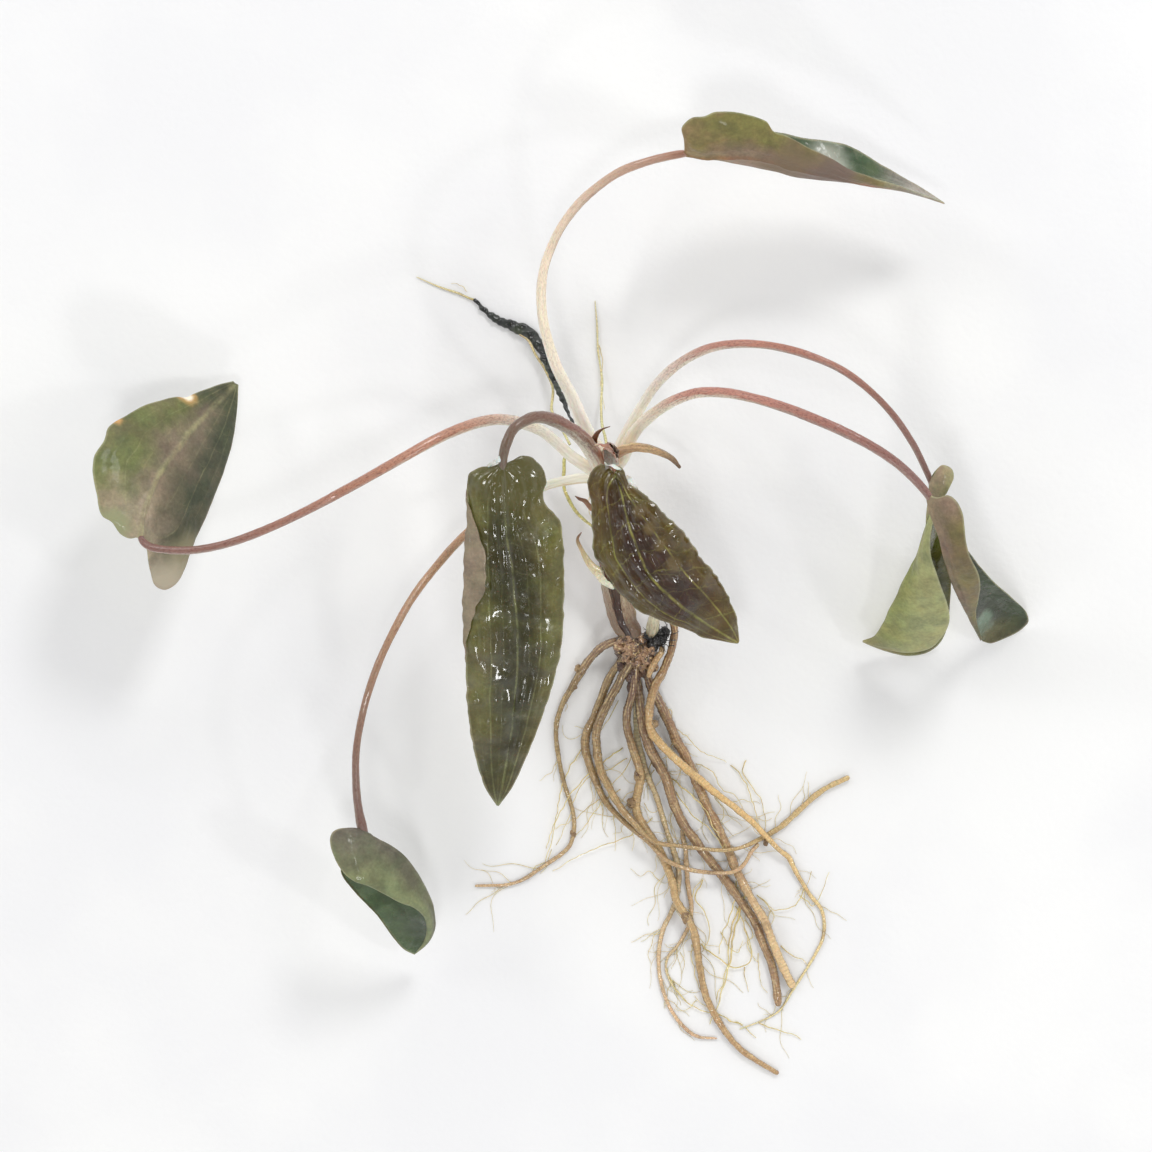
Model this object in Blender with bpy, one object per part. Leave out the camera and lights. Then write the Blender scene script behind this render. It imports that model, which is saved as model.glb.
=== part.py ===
"""A bare-root cryptocoryne lying on a flat surface: seven leaves, a short stem, a rhizome and its roots.

Metres, +Z up. The plant rests on z = 0 with the middle of its outline over the origin. The leaf stalks rise
from the crown in arches, the blades hang from their ends, and the roots spread over the surface in -Y.
"""

import math

import bmesh
import bpy
import numpy as np
from mathutils import Vector

# Every route and outline below is a hand-chosen list of points in millimetres.
MM = 0.001

BLADE_THICKNESS = 0.6
BLADE_ROWS = 14
BLADE_COLUMNS = 9
BLADE_ROW_CROWDING = 1.5
STALK_RINGS = 19
ROOT_RING_SPACING = 4.6
FINE_ROOT_RING_SPACING = 5.5
STALK_BEVEL_STEPS = 2
ROOT_BEVEL_STEPS = 1
STRAP_SIDES = 6
CURVE_SAMPLES_PER_SPAN = 30

# Stalk routes from the crown to the blade: x, y, height, radius.
STALKS = {
    "front_left": [
        (6.2, 27.3, 18.2, 1.6), (4.9, 29.6, 23, 1.55), (3, 31.8, 29, 1.45), (0.7, 33.4, 33.5, 1.35),
        (-2.1, 34.8, 37.5, 1.28), (-4.7, 35.3, 40.5, 1.2), (-7.1, 34.8, 43, 1.12), (-9.8, 33, 44.5, 1.05),
        (-11.2, 30.2, 45, 1), (-11.9, 27.4, 44.6, 0.95),
    ],
    "front_right": [
        (9.2, 26, 17, 1.05), (8.7, 27.6, 22, 1.1), (8.2, 28.8, 29, 1.15), (8.3, 28.6, 35, 1.1),
        (8.8, 27.3, 39.5, 1), (9.2, 26.2, 40.9, 0.85),
    ],
    "left": [
        (4.6, 26.2, 13.2, 1.1), (1, 28.5, 18, 1.1), (-2.1, 31.2, 23, 1.1), (-5, 33.3, 27, 1.1),
        (-11.8, 35.1, 33, 1.06), (-16.3, 34.5, 36, 1.04), (-21.8, 32.5, 39, 1), (-27.5, 29.5, 41.5, 0.97),
        (-34.4, 25.5, 43.5, 0.93), (-43.1, 20.6, 45, 0.88), (-50.8, 16.6, 44.5, 0.83), (-59, 13, 43.5, 0.8),
        (-65.8, 10.8, 42, 0.78), (-71.3, 9.9, 40.5, 0.77), (-76.7, 10, 38.5, 0.76), (-79.7, 10.6, 37.3, 0.75),
        (-81.2, 11.7, 36.5, 0.74),
    ],
    "lower_left": [
        (4.2, 24.3, 9.5, 1), (0, 23.8, 11, 1), (-3.5, 22.9, 13.5, 0.95), (-8, 21, 16.5, 0.92),
        (-11.9, 18.8, 19.5, 0.88), (-19.3, 13.2, 25, 0.82), (-26.3, 5.2, 31, 0.77), (-29.6, 0.6, 33.5, 0.76),
        (-32.7, -5, 36, 0.75), (-35.4, -10.7, 37.5, 0.73), (-37.5, -16.4, 38, 0.71), (-39.2, -22.7, 37.5, 0.7),
        (-40.2, -29, 36.5, 0.7), (-40.3, -35.4, 34.5, 0.72), (-39.9, -40.1, 32.8, 0.74),
        (-39.3, -43.2, 31.8, 0.75),
    ],
    "top": [
        (6.5, 29.8, 13, 1.35), (4.4, 32.9, 16.5, 1.38), (0.8, 40.7, 22, 1.22), (-2, 46.1, 26, 1.1),
        (-3.9, 52.2, 29.5, 1), (-4.7, 58, 32, 0.95), (-4.3, 63.5, 34, 0.9), (-2.7, 68.2, 35.5, 0.87),
        (-0.8, 72, 36.5, 0.85), (2.3, 76.1, 37, 0.84), (6.3, 79.7, 37.5, 0.83), (10.7, 82.6, 37, 0.82),
        (15.9, 84.6, 36, 0.83), (19.6, 85.6, 35, 0.84), (22, 86.1, 34.3, 0.85),
    ],
    "right_upper": [
        (10.5, 30.4, 12.5, 1.1), (14, 36.8, 19, 1.02), (17.7, 42.3, 25, 0.97), (22.4, 46.3, 30.5, 0.92),
        (27.9, 48.8, 35, 0.86), (34.3, 49.4, 39, 0.8), (40.7, 48.6, 41.5, 0.76), (47.1, 46.7, 42.8, 0.72),
        (52.8, 44.1, 43, 0.69), (58.3, 40, 42.6, 0.67), (63.1, 34.9, 41.5, 0.66), (66.7, 29.7, 39.8, 0.65),
        (69, 25.3, 38, 0.63), (69.8, 23.6, 37.5, 0.62),
    ],
    "right_lower": [
        (11.2, 28.3, 15.2, 1.25), (12.8, 32.1, 18.5, 1.25), (15.1, 34.9, 22.5, 1.2), (20.1, 38.4, 29.5, 1.08),
        (25.1, 40.1, 34.5, 1), (30.5, 40, 39, 0.96), (35.9, 38.8, 42.3, 0.94), (41.6, 37, 44.6, 0.95),
        (47.1, 34.8, 46.3, 0.96), (52.5, 32.4, 47.3, 0.94), (57.9, 29.6, 47.5, 0.92), (62.4, 26.7, 46.8, 0.88),
        (66.1, 23.5, 45.6, 0.85), (68.5, 20.9, 44.6, 0.82),
    ],
}

# Each blade: its midrib and its two margins, from the stalk to the tip, and how far its halves belly.
BLADES = {
    "front_left": {
        "midrib": [
            (-11.9, 26.1, 44.4), (-11.5, 19.4, 44), (-11.1, 11.8, 43), (-9.8, 2.3, 41), (-9.3, -7.3, 38),
            (-9.8, -18.9, 33), (-11.2, -29.8, 27.5), (-13.2, -39.9, 22),
        ],
        "left": [
            (-12.5, 26.3, 44.2), (-14, 25.8, 43.5), (-16.3, 25.6, 43), (-18.2, 24.4, 42.6), (-18.8, 22.7, 42.4),
            (-18.4, 18.5, 42.2), (-18.8, 10.9, 41.8), (-19.2, 0.4, 40.2), (-19.1, -10.2, 37.2),
            (-18.8, -20.9, 32.6), (-17.4, -30.1, 28), (-15.5, -36.3, 24.5), (-13.4, -39.8, 22),
        ],
        "right": [
            (-11.3, 26.4, 44.3), (-10, 27, 44), (-8.5, 27.8, 43.6), (-6, 27.3, 43), (-4.3, 25.3, 42.6),
            (-3.6, 23.2, 42.5), (-4.3, 20.6, 43), (-3.3, 17.9, 42.6), (-1.2, 15.8, 42), (-0.5, 11.8, 41.6),
            (-0.3, 0.4, 40), (-0.9, -9.2, 37), (-3.4, -18.9, 33), (-6.9, -28.4, 28.5), (-10.5, -36.3, 24),
            (-13, -39.8, 22),
        ],
        "belly": 0.06,
    },
    "front_right": {
        "midrib": [
            (9.3, 24.6, 41.2), (10.6, 20.8, 42), (11.7, 16, 42), (13.3, 10.9, 41.5), (15.6, 5.9, 40.5),
            (18.4, 2.5, 39.5), (21.6, -0.4, 37.5), (25.7, -3.3, 34.5), (30, -5.9, 31.5), (33.4, -8, 29),
        ],
        "left": [
            (8.9, 24.8, 41), (7.7, 26.1, 40.6), (6.6, 26.3, 40.2), (5.4, 25.4, 40), (4.5, 23.7, 39.8),
            (4.3, 21.6, 40), (4.9, 19.1, 40.2), (5.2, 14.3, 39.8), (5.4, 9.5, 39), (7, 6.7, 38.6),
            (8.9, 3.8, 38), (11.4, 0.5, 37.2), (15.8, -2.5, 36), (21.4, -4.6, 34), (26.7, -6.8, 31.5),
            (30.2, -7.6, 30), (33.1, -8.1, 29),
        ],
        "right": [
            (9.5, 24.8, 41.2), (10.2, 25.9, 41), (11.2, 25, 41), (11.7, 23.5, 41), (12.9, 22, 41.2),
            (14.8, 20.8, 41), (17.3, 18.5, 40.5), (20, 15.8, 40), (22.9, 13, 39), (26.2, 8.2, 37),
            (29.3, 4.6, 35), (31.9, -0.3, 32.5), (33.1, -3.5, 30.8), (33.6, -7.6, 29.2),
        ],
        "belly": 0.06,
    },
    "left": {
        "midrib": [
            (-81.7, 12.6, 36), (-81.2, 16.7, 35), (-79.6, 22.5, 32), (-76.7, 28, 27.5), (-72.5, 34.5, 20),
            (-68.7, 39.2, 13.5), (-65.6, 43, 8),
        ],
        "left": [
            (-82.2, 12.5, 36), (-83.6, 12.2, 36.2), (-85.3, 13, 36.5), (-87, 15.3, 37), (-88.9, 16.6, 37),
            (-89.9, 20.5, 36.5), (-90.8, 25.3, 35.5), (-90.5, 28.2, 34.5), (-88.9, 31, 33), (-88.1, 33.7, 31.5),
            (-85.2, 35.7, 28.5), (-82.1, 37.5, 26), (-78.7, 39, 23), (-76.2, 40.1, 20.5), (-74.4, 39.3, 18.5),
            (-72.6, 41.1, 16), (-70.8, 42.4, 14), (-68.3, 43.3, 11), (-65.9, 43.5, 8.6),
        ],
        "right": [
            (-81.5, 12.2, 35.6), (-80.7, 10, 33), (-80.5, 6.1, 29), (-79.7, 3.2, 27), (-78.2, 2.3, 26),
            (-76, 3.2, 25), (-74.3, 5.9, 24.5), (-72.6, 11, 23.5), (-70.8, 15.1, 22), (-68.8, 20.4, 20),
            (-66.7, 26.7, 17), (-65.5, 32.1, 14), (-65, 37.5, 11), (-64.9, 42.8, 8.2),
        ],
        "belly": -0.08,
    },
    "lower_left": {
        "midrib": [
            (-38.7, -45.3, 31), (-35.9, -46.7, 30), (-32.7, -48.7, 28), (-29.9, -52, 25.5), (-27.7, -56.1, 22),
            (-26.2, -60.1, 18), (-26, -63.8, 13.5), (-27.3, -67.3, 9), (-29.8, -70, 5),
        ],
        "left": [
            (-39, -45.8, 30.4), (-40.8, -47.4, 28), (-43.1, -49.6, 26), (-43.7, -52.7, 24), (-41, -57, 20.5),
            (-37.1, -61.6, 16), (-34.4, -66, 11), (-32.1, -69.1, 7), (-30.1, -70.3, 5),
        ],
        "right": [
            (-39.2, -44.9, 31.6), (-41, -43.9, 33), (-43.1, -43.6, 33.6), (-44.8, -44.3, 33.5),
            (-45.4, -45.9, 33), (-44.7, -49.1, 32), (-43, -52.2, 31), (-40.9, -54, 30.5), (-38.2, -55, 29.5),
            (-34.8, -56.9, 27.5), (-32.4, -58.4, 25.5), (-29.8, -59.6, 22.5), (-27.8, -61.9, 18),
            (-27.4, -64.8, 13), (-28.3, -67.8, 8.3), (-29.9, -69.9, 5.3),
        ],
        "belly": -0.12,
    },
    "top": {
        "midrib": [
            (23, 86.4, 34), (27.8, 85.6, 33.6), (32.6, 84.8, 32.8), (39.5, 83.4, 31), (45.4, 82.2, 29),
            (53.2, 81.6, 26.5), (60.2, 81.2, 23.5), (66.3, 80.4, 20), (71.1, 79.3, 17), (74.5, 78.2, 15),
        ],
        "left": [
            (22.9, 86.8, 35), (22.7, 88.4, 38.5), (22.3, 90.6, 41.5), (24.1, 92.2, 42.8), (26.4, 92.4, 43),
            (28.5, 93.2, 43.3), (31.9, 93.3, 43), (34.8, 92.8, 42.2), (38.3, 91.6, 41), (39.7, 90, 39.6),
            (42.2, 89.2, 38.3), (47.5, 86.8, 35.4), (50.9, 85.4, 33.4), (54.9, 83.5, 30.5), (59, 82.3, 27.5),
            (65.2, 80.9, 22.5), (70.4, 79.5, 18), (74.3, 78.4, 15.2),
        ],
        "right": [
            (23.2, 86.7, 33), (26, 88.3, 28), (29.2, 89.8, 24.5), (34.4, 91.1, 22.5), (40.3, 91.7, 21.5),
            (44.8, 90.9, 20.7), (48.3, 90.4, 20), (54.5, 89.5, 19), (58.6, 87.6, 18.2), (63, 85, 17.2),
            (65.8, 83.5, 16.5), (70, 81.2, 15.6), (74.3, 78.5, 14.8),
        ],
        "belly": -0.14,
    },
    "right_upper": {
        "midrib": [
            (70.6, 21.6, 36.8), (70.2, 19, 36), (69.9, 15.7, 35), (69.8, 12.5, 33.5), (68.4, 9, 31),
            (66.4, 4.8, 27.5), (64.4, 0.1, 22), (62.6, -4.5, 14.5), (61.2, -7.1, 9), (59, -8, 6),
        ],
        "left": [
            (70.7, 21.9, 37.2), (71.1, 22.8, 38), (70.6, 24.5, 39), (72, 26.1, 39.5), (73.8, 25.4, 39.5),
            (74.2, 23.7, 39.2), (73.2, 21.8, 38.9), (71.3, 18.5, 39), (70, 13.8, 38.6), (69.9, 9.4, 37.5),
            (71.2, 5.7, 34.5), (72.7, 2.4, 30.5), (74.3, -1.1, 25), (74.9, -4, 20.5), (73.8, -7.2, 15),
            (71.9, -9.3, 11.5), (67.8, -10.2, 8.5), (63.5, -9.5, 7), (59.6, -8.2, 6),
        ],
        "right": [
            (70.6, 21.3, 36), (72.1, 19.6, 33), (74, 15.8, 29), (75.3, 10, 23), (75.7, 3.8, 16),
            (75.9, -0.6, 10.5), (75.8, -5.4, 5), (74.6, -8.4, 2), (72.3, -10.3, 0.7), (68.4, -11, 0.5),
            (63.9, -10.1, 1.6), (60.6, -8.9, 3.8), (59, -8.2, 5.5),
        ],
        "belly": -0.12,
    },
    "right_lower": {
        "midrib": [
            (69.3, 19.8, 44.2), (70.1, 16.7, 43.8), (71.4, 13.3, 42.3), (72.9, 8.8, 38), (74.6, 4.6, 31.5),
            (76.8, 0.7, 24), (79.3, -2.9, 15), (81.3, -5.8, 8), (82.7, -7.8, 3),
        ],
        "left": [
            (69.5, 20.1, 44.8), (70.7, 19.8, 46), (72.5, 20.2, 47.5), (73.9, 19.2, 48), (75.1, 16.9, 48),
            (75.6, 14.2, 47), (76.1, 11.4, 44.5), (77.4, 8.2, 40.5), (79.2, 5.5, 35.5), (80.1, 3, 30),
            (80.3, 0.5, 24), (80.4, -2.1, 17.5), (81.3, -4.7, 10.5), (82.8, -7.4, 3.8),
        ],
        "right": [
            (69.7, 19.4, 43.2), (72.6, 15.7, 39), (75.5, 11.9, 34), (77.8, 9.8, 30), (80.3, 7.1, 25.5),
            (83.8, 3.8, 19), (88.1, 0.6, 11.5), (91.8, -2.6, 4), (92.2, -4.4, 1.6), (90.4, -6.2, 0.5),
            (87.4, -7.6, 0.4), (84.9, -8.5, 0.6), (83.2, -8.1, 2),
        ],
        "belly": -0.12,
    },
}

# Root routes from the rhizome to the tip: x, y, height, radius. Far out, a root lies on the surface.
ROOTS = {
    "left_root": [
        (9.1, -8.2, 5.2, 0.9), (7, -9.3, 4, 0.88), (4.9, -11.4, 2.2, 0.88), (2.9, -14.4, 1.2, 0.88),
        (0.9, -17.8, 0.8, 0.7), (-1, -21.4, 0.65, 0.6), (-2, -25.8, 0.6, 0.54), (-0.8, -34.8, 0.55, 0.5),
        (1.6, -43.8, 0.5, 0.48), (0.7, -48.9, 0.5, 0.46), (-4.4, -53, 0.45, 0.42), (-10.2, -56.4, 0.42, 0.38),
        (-18, -57, 0.35, 0.3),
    ],
    "outer_left_root": [
        (10.1, -13.1, 5, 0.88), (9, -14.6, 4.2, 0.9), (7.8, -17.2, 3, 0.95), (6.8, -20.2, 2, 0.95),
        (5.6, -23.2, 1.3, 0.95), (4.4, -25.6, 1, 0.95), (3.8, -28.6, 1, 0.92), (4.4, -31.6, 0.95, 0.9),
        (5.6, -35, 0.9, 0.82), (7, -38.6, 0.9, 0.76), (8.6, -41, 1.1, 0.7), (10.2, -42.8, 1.7, 0.65),
        (12, -44.5, 2.4, 0.6), (14, -46.1, 2.9, 0.55), (16.4, -48.1, 3, 0.52), (19.9, -51.6, 3, 0.5),
        (23.7, -53.3, 3, 0.48), (29.1, -54.2, 3, 0.46), (33.7, -53.9, 3, 0.46), (35.7, -52.3, 2.6, 0.46),
        (37.1, -50, 1.6, 0.45), (38.2, -48.8, 1, 0.4),
    ],
    "inner_left_root": [
        (12, -13.6, 6, 0.85), (11.2, -14.9, 5.6, 0.9), (10.1, -17.2, 4.7, 0.92), (8.6, -19.7, 4, 0.95),
        (7.4, -22.3, 3.3, 0.95), (6.4, -24.8, 2.7, 0.95), (6, -27.4, 2.2, 0.92), (6.5, -31.8, 2.1, 0.9),
        (7.2, -34.5, 2.4, 0.87), (8.4, -36.9, 2.6, 0.84), (9.8, -39.5, 2.8, 0.8), (11.4, -41.9, 3.3, 0.75),
        (13.2, -43.9, 3.9, 0.68), (14.7, -45.6, 4.3, 0.6), (16.5, -47.2, 4.3, 0.52), (18.3, -48.2, 4.1, 0.48),
        (22.3, -48.8, 3.5, 0.46), (25.3, -49.2, 3.4, 0.45), (31.3, -49.7, 3.1, 0.45), (34.9, -49.2, 2.7, 0.46),
        (37.7, -48.1, 1.5, 0.5), (39.6, -47.2, 0.7, 0.55), (43.4, -44.8, 0.65, 0.62), (47.2, -41.3, 0.65, 0.63),
        (51.2, -37.9, 0.65, 0.6), (56.2, -35.4, 0.65, 0.55),
    ],
    "middle_root": [
        (13.6, -15, 5.5, 0.9), (13.4, -17.5, 5.3, 0.9), (12.9, -19.4, 4.6, 0.9), (12.3, -21.8, 3.5, 0.9),
        (12.1, -24.2, 2.7, 0.9), (12.6, -27, 2.4, 0.92), (13.6, -30.2, 2.4, 0.95), (14.8, -34.5, 2.4, 0.95),
        (14.6, -37.2, 2, 0.95), (14, -40, 1.3, 0.95), (14.2, -42.5, 1, 0.97), (15.6, -45.2, 1, 1),
        (18.2, -49.2, 1, 0.97), (19.6, -51.8, 1.1, 0.95), (20.6, -54.3, 1.6, 0.92), (21.4, -56.9, 2.2, 0.9),
        (22.1, -60, 2.6, 0.9), (24.2, -63.2, 2.7, 0.9), (25.5, -66, 2.3, 0.86), (26.2, -69.9, 1.3, 0.82),
        (26.8, -73.8, 0.85, 0.78), (27.7, -78.2, 0.8, 0.76), (29.4, -82.2, 0.78, 0.74), (32.4, -86.8, 0.74, 0.7),
        (35.1, -89.8, 0.7, 0.66), (38.9, -92.4, 0.65, 0.61), (42.1, -94.3, 0.6, 0.56),
    ],
    "long_right_root": [
        (14.2, -15.2, 3, 0.95), (14.5, -19.1, 2.9, 1.05), (14.9, -22.2, 2.8, 1.1), (15.4, -25.1, 2.8, 1.12),
        (16.4, -28.3, 2.8, 1.12), (17.6, -31.2, 2.4, 1.12), (19.6, -34.6, 1.8, 1.1), (21.4, -40, 1.5, 1.08),
        (23.6, -44.8, 1.8, 1.05), (25.4, -47.3, 1.8, 1.02), (27.2, -49.8, 1.6, 1), (29.2, -52.4, 1.3, 1),
        (31.6, -55.4, 1.1, 0.98), (34.8, -59.8, 1, 0.97), (37.6, -63.8, 1, 0.95), (39.2, -67.8, 0.95, 0.92),
        (40.8, -71.8, 0.92, 0.9), (41.8, -75.8, 0.9, 0.88), (42.4, -80.2, 0.88, 0.84),
    ],
    "right_root": [
        (16.2, -14.8, 4.3, 0.95), (16.9, -17.2, 3.4, 1), (18.4, -19.8, 2.6, 1.05), (19.6, -22.2, 1.9, 1.08),
        (20.8, -24.8, 1.5, 1.08), (22, -27.8, 1.2, 1.08), (23.6, -30.6, 1.1, 1.08), (25.8, -35.4, 1.1, 1.08),
        (27, -38.2, 1.1, 1.08), (28.4, -41.6, 1.1, 1.06), (30, -44.8, 1.08, 1.05), (32.4, -49.8, 1.05, 1.02),
        (33.6, -53, 1.15, 1), (34.9, -55.5, 1.7, 0.98), (37.1, -59.6, 2.8, 0.96), (39.5, -63.6, 2.7, 0.95),
        (41.1, -67.7, 2.2, 0.94), (42.7, -71.7, 2.1, 0.93), (45, -76.6, 1, 0.92),
    ],
    "golden_root": [
        (21.6, -6.2, 6.4, 0.8), (21, -9.4, 6.3, 0.86), (20.1, -12.1, 6.1, 0.9), (19.3, -14, 5.9, 0.92),
        (17.9, -16.5, 5.7, 0.95), (17.1, -19.1, 5.4, 0.9), (16.6, -21.5, 5.2, 0.9), (16.5, -24.1, 5, 0.9),
        (17.2, -26.3, 4.8, 0.9), (18.7, -28.3, 4.5, 0.9), (21.9, -31.5, 3.8, 0.88), (25.1, -34.3, 3.4, 0.86),
        (29.5, -38, 2.7, 0.8), (34.1, -41.5, 2.3, 0.72), (36.5, -43.5, 2.3, 0.68), (39.5, -46.5, 2.4, 0.62),
        (42.7, -49.8, 1.7, 0.55), (44.5, -51.3, 1.1, 0.55), (45.7, -53.7, 0.8, 0.52), (48.8, -58.8, 0.45, 0.43),
        (51, -61.6, 0.45, 0.4), (51.6, -64.2, 0.4, 0.38), (51.4, -67.2, 0.4, 0.36), (50, -70.4, 0.35, 0.33),
        (45.5, -77.6, 0.3, 0.26), (42.5, -82.1, 0.25, 0.22), (38.8, -84.1, 0.25, 0.2), (34.8, -85.6, 0.25, 0.18),
    ],
    "pale_root": [
        (13.2, -14.6, 0.9, 0.64), (13.6, -17.8, 0.7, 0.66), (14, -21.8, 0.7, 0.66), (14.2, -27.4, 0.68, 0.65),
        (15.1, -30.8, 0.65, 0.63), (16.4, -35.4, 0.65, 0.62), (17.8, -38.4, 0.65, 0.62), (19.6, -44.2, 0.63, 0.6),
        (21.4, -49.8, 0.62, 0.6), (22.4, -53, 0.62, 0.6), (22.5, -56.4, 0.62, 0.6), (22, -59.8, 0.6, 0.58),
        (20.8, -62.8, 0.6, 0.56), (19.6, -65.2, 0.55, 0.52), (18.6, -69.8, 0.5, 0.48), (18.8, -75.4, 0.45, 0.44),
        (20.4, -80.6, 0.42, 0.4), (23, -84.6, 0.4, 0.38), (26, -87, 0.38, 0.36), (30, -87.5, 0.35, 0.3),
    ],
    "branch_root": [
        (23.4, -47.4, 0.6, 0.5), (23.9, -49.8, 0.58, 0.55), (24.1, -53.4, 0.58, 0.55), (24.5, -57.8, 0.58, 0.55),
        (25.1, -61.4, 0.55, 0.52), (24.6, -64.8, 0.5, 0.45), (22.4, -68.8, 0.4, 0.36), (20.4, -71.2, 0.35, 0.3),
        (20, -73.8, 0.3, 0.25), (21.6, -77.4, 0.25, 0.2), (24, -80, 0.22, 0.16),
    ],
    "short_root": [
        (18.9, -10.2, 7, 0.6), (17.9, -11.7, 7.2, 0.75), (17, -13.3, 6.8, 0.75), (16.5, -14.7, 6.8, 0.55),
    ],
}

FINE_ROOTS = {
    "upper_fine_root": [
        (7.9, 31.9, 8, 0.3), (7.2, 35, 5, 0.3), (7, 39.1, 2.5, 0.28), (7.2, 44.1, 1.2, 0.26),
        (6.4, 50.1, 0.6, 0.24), (6.2, 55.1, 0.35, 0.22), (5.8, 59.9, 0.25, 0.15),
    ],
    "side_fine_root": [
        (-1.2, 34.9, 6, 0.3), (-2.8, 37.8, 4, 0.3), (-2.6, 42.1, 2.2, 0.3), (-3.4, 44.7, 1.6, 0.3),
        (-4.6, 46.9, 1.4, 0.3), (-6.1, 49.2, 1.9, 0.28), (-7.5, 51.9, 2.4, 0.25), (-9.2, 53.1, 2.3, 0.18),
    ],
    "far_fine_root": [
        (-19.1, 60.4, 0.4, 0.25), (-21.6, 61.5, 0.3, 0.25), (-25.2, 62.7, 0.28, 0.22), (-29.8, 64.7, 0.22, 0.15),
    ],
    "yellow_root": [
        (0, 28.7, 8, 0.35), (-0.4, 25.6, 6, 0.38), (-0.4, 22.7, 5, 0.38), (0.6, 20.1, 4.5, 0.38),
        (2.2, 17.5, 4.6, 0.36), (5.4, 14.7, 5.5, 0.3),
    ],
}

# The short leafy stem, from the rhizome to the crown, and the small things that grow on it.
STEM = [
    (12.6, -6, 6, 2.3), (11.6, -4.2, 6.3, 2.6), (10.3, 1.2, 6.8, 2.75), (9.5, 8.1, 7.8, 2.7), (8.7, 15, 9.2, 2.5),
    (8.1, 21, 10.8, 2.2), (7.7, 24.9, 12, 1.7), (7.7, 27.2, 12.8, 1.1),
]
OLD_STALK = [
    (11, 29.5, 20.4, 1), (13, 30, 20.8, 0.95), (15.9, 29.9, 20, 0.85), (18.5, 29.1, 18.6, 0.72),
    (20.9, 27.9, 17, 0.55), (22.3, 26.4, 15.8, 0.35),
]
PEG = [(17.1, -5.6, 8.6, 0.9), (17.7, -3.2, 8.8, 1)]

# Flat pieces: x, y, height, half width.
SCALE_LEAVES = {
    "crown_scale_leaf": [
        (6.6, 30.8, 20.4, 0.45), (5.8, 32.1, 23.2, 0.5), (6.2, 32.8, 25, 0.5), (7.4, 33.4, 26.5, 0.35),
        (8.6, 33.9, 27.5, 0.15),
    ],
    "upper_scale_leaf": [(4.8, 18.6, 8.5, 0.6), (3.8, 19.8, 9, 0.5), (2.7, 20.2, 9.3, 0.35), (1.8, 20.8, 9.5, 0.15)],
    "lower_scale_leaf": [
        (6.4, 6.2, 7.1, 0.7), (5, 7.1, 7.6, 0.6), (4, 8.7, 8, 0.5), (2.8, 10.7, 8.3, 0.4), (2.2, 12.3, 8.4, 0.3),
        (3.1, 13.5, 8.5, 0.15),
    ],
}
DEAD_LEAF = [
    (-18.4, 60.2, 0.5, 0.25), (-17.2, 59.1, 0.6, 0.7), (-15.4, 57.3, 0.7, 1.1), (-13.2, 55.9, 0.7, 1.1),
    (-10.6, 54.9, 0.8, 1.1), (-8, 53.8, 1, 1.25), (-6, 51.9, 1.4, 1.2), (-4.4, 49.5, 2, 1.1), (-3, 45.8, 3, 0.9),
    (-1.8, 42.8, 4, 0.7), (-0.4, 39.5, 5.2, 0.6), (1.6, 34.9, 7.2, 0.55), (3.6, 30.7, 9.2, 0.55),
]
STRAP_HALF_THICKNESS = 0.35

# Lumps: centre and half sizes, then knobs as direction, height and how sharply each falls off.
RHIZOME_CENTRE = (13.9, -10.5, 3.3)
RHIZOME_SIZE = (3.6, 3.5, 4.1)
RHIZOME_KNOBS = [((-0.6, 0.1, 0.8), 0.22, 4), ((0.6, -0.3, 0.75), 0.26, 4), ((0.1, 0.8, 0.4), 0.15, 3)]
ROTTED_BASE_CENTRE = (18.4, -7.6, 6.7)
ROTTED_BASE_SIZE = (1.5, 1.5, 1.1)
ROTTED_BASE_KNOBS = [((0.7, 0.8, 0.1), 0.5, 3), ((-0.8, -0.6, 0.1), 0.3, 3)]

# Colour and roughness of each living or dead tissue.
TISSUES = {
    "leaf_blade": ((0.09, 0.11, 0.04), 0.3),
    "leaf_stalk": ((0.36, 0.19, 0.12), 0.4),
    "root": ((0.36, 0.22, 0.09), 0.55),
    "fine_root": ((0.68, 0.6, 0.3), 0.5),
    "rhizome": ((0.38, 0.23, 0.14), 0.6),
    "rotted_leaf": ((0.015, 0.018, 0.012), 0.5),
}


def clear_scene():
    for thing in list(bpy.data.objects):
        bpy.data.objects.remove(thing, do_unlink=True)


def tissue(slot, owner):
    """A material for one piece, in its tissue's colour."""
    colour, roughness = TISSUES[slot]
    material = bpy.data.materials.new(f"{owner}_{slot}")
    material.use_nodes = True
    shader = material.node_tree.nodes["Principled BSDF"]
    shader.inputs["Base Color"].default_value = (*colour, 1)
    shader.inputs["Roughness"].default_value = roughness
    shader.inputs["Metallic"].default_value = 0
    material.diffuse_color = (*colour, 1)
    return material


def place(name, data, slot):
    """Links an object of this name, made of one tissue."""
    piece = bpy.data.objects.new(name, data)
    bpy.context.scene.collection.objects.link(piece)
    data.materials.append(tissue(slot, name))
    return piece


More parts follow.
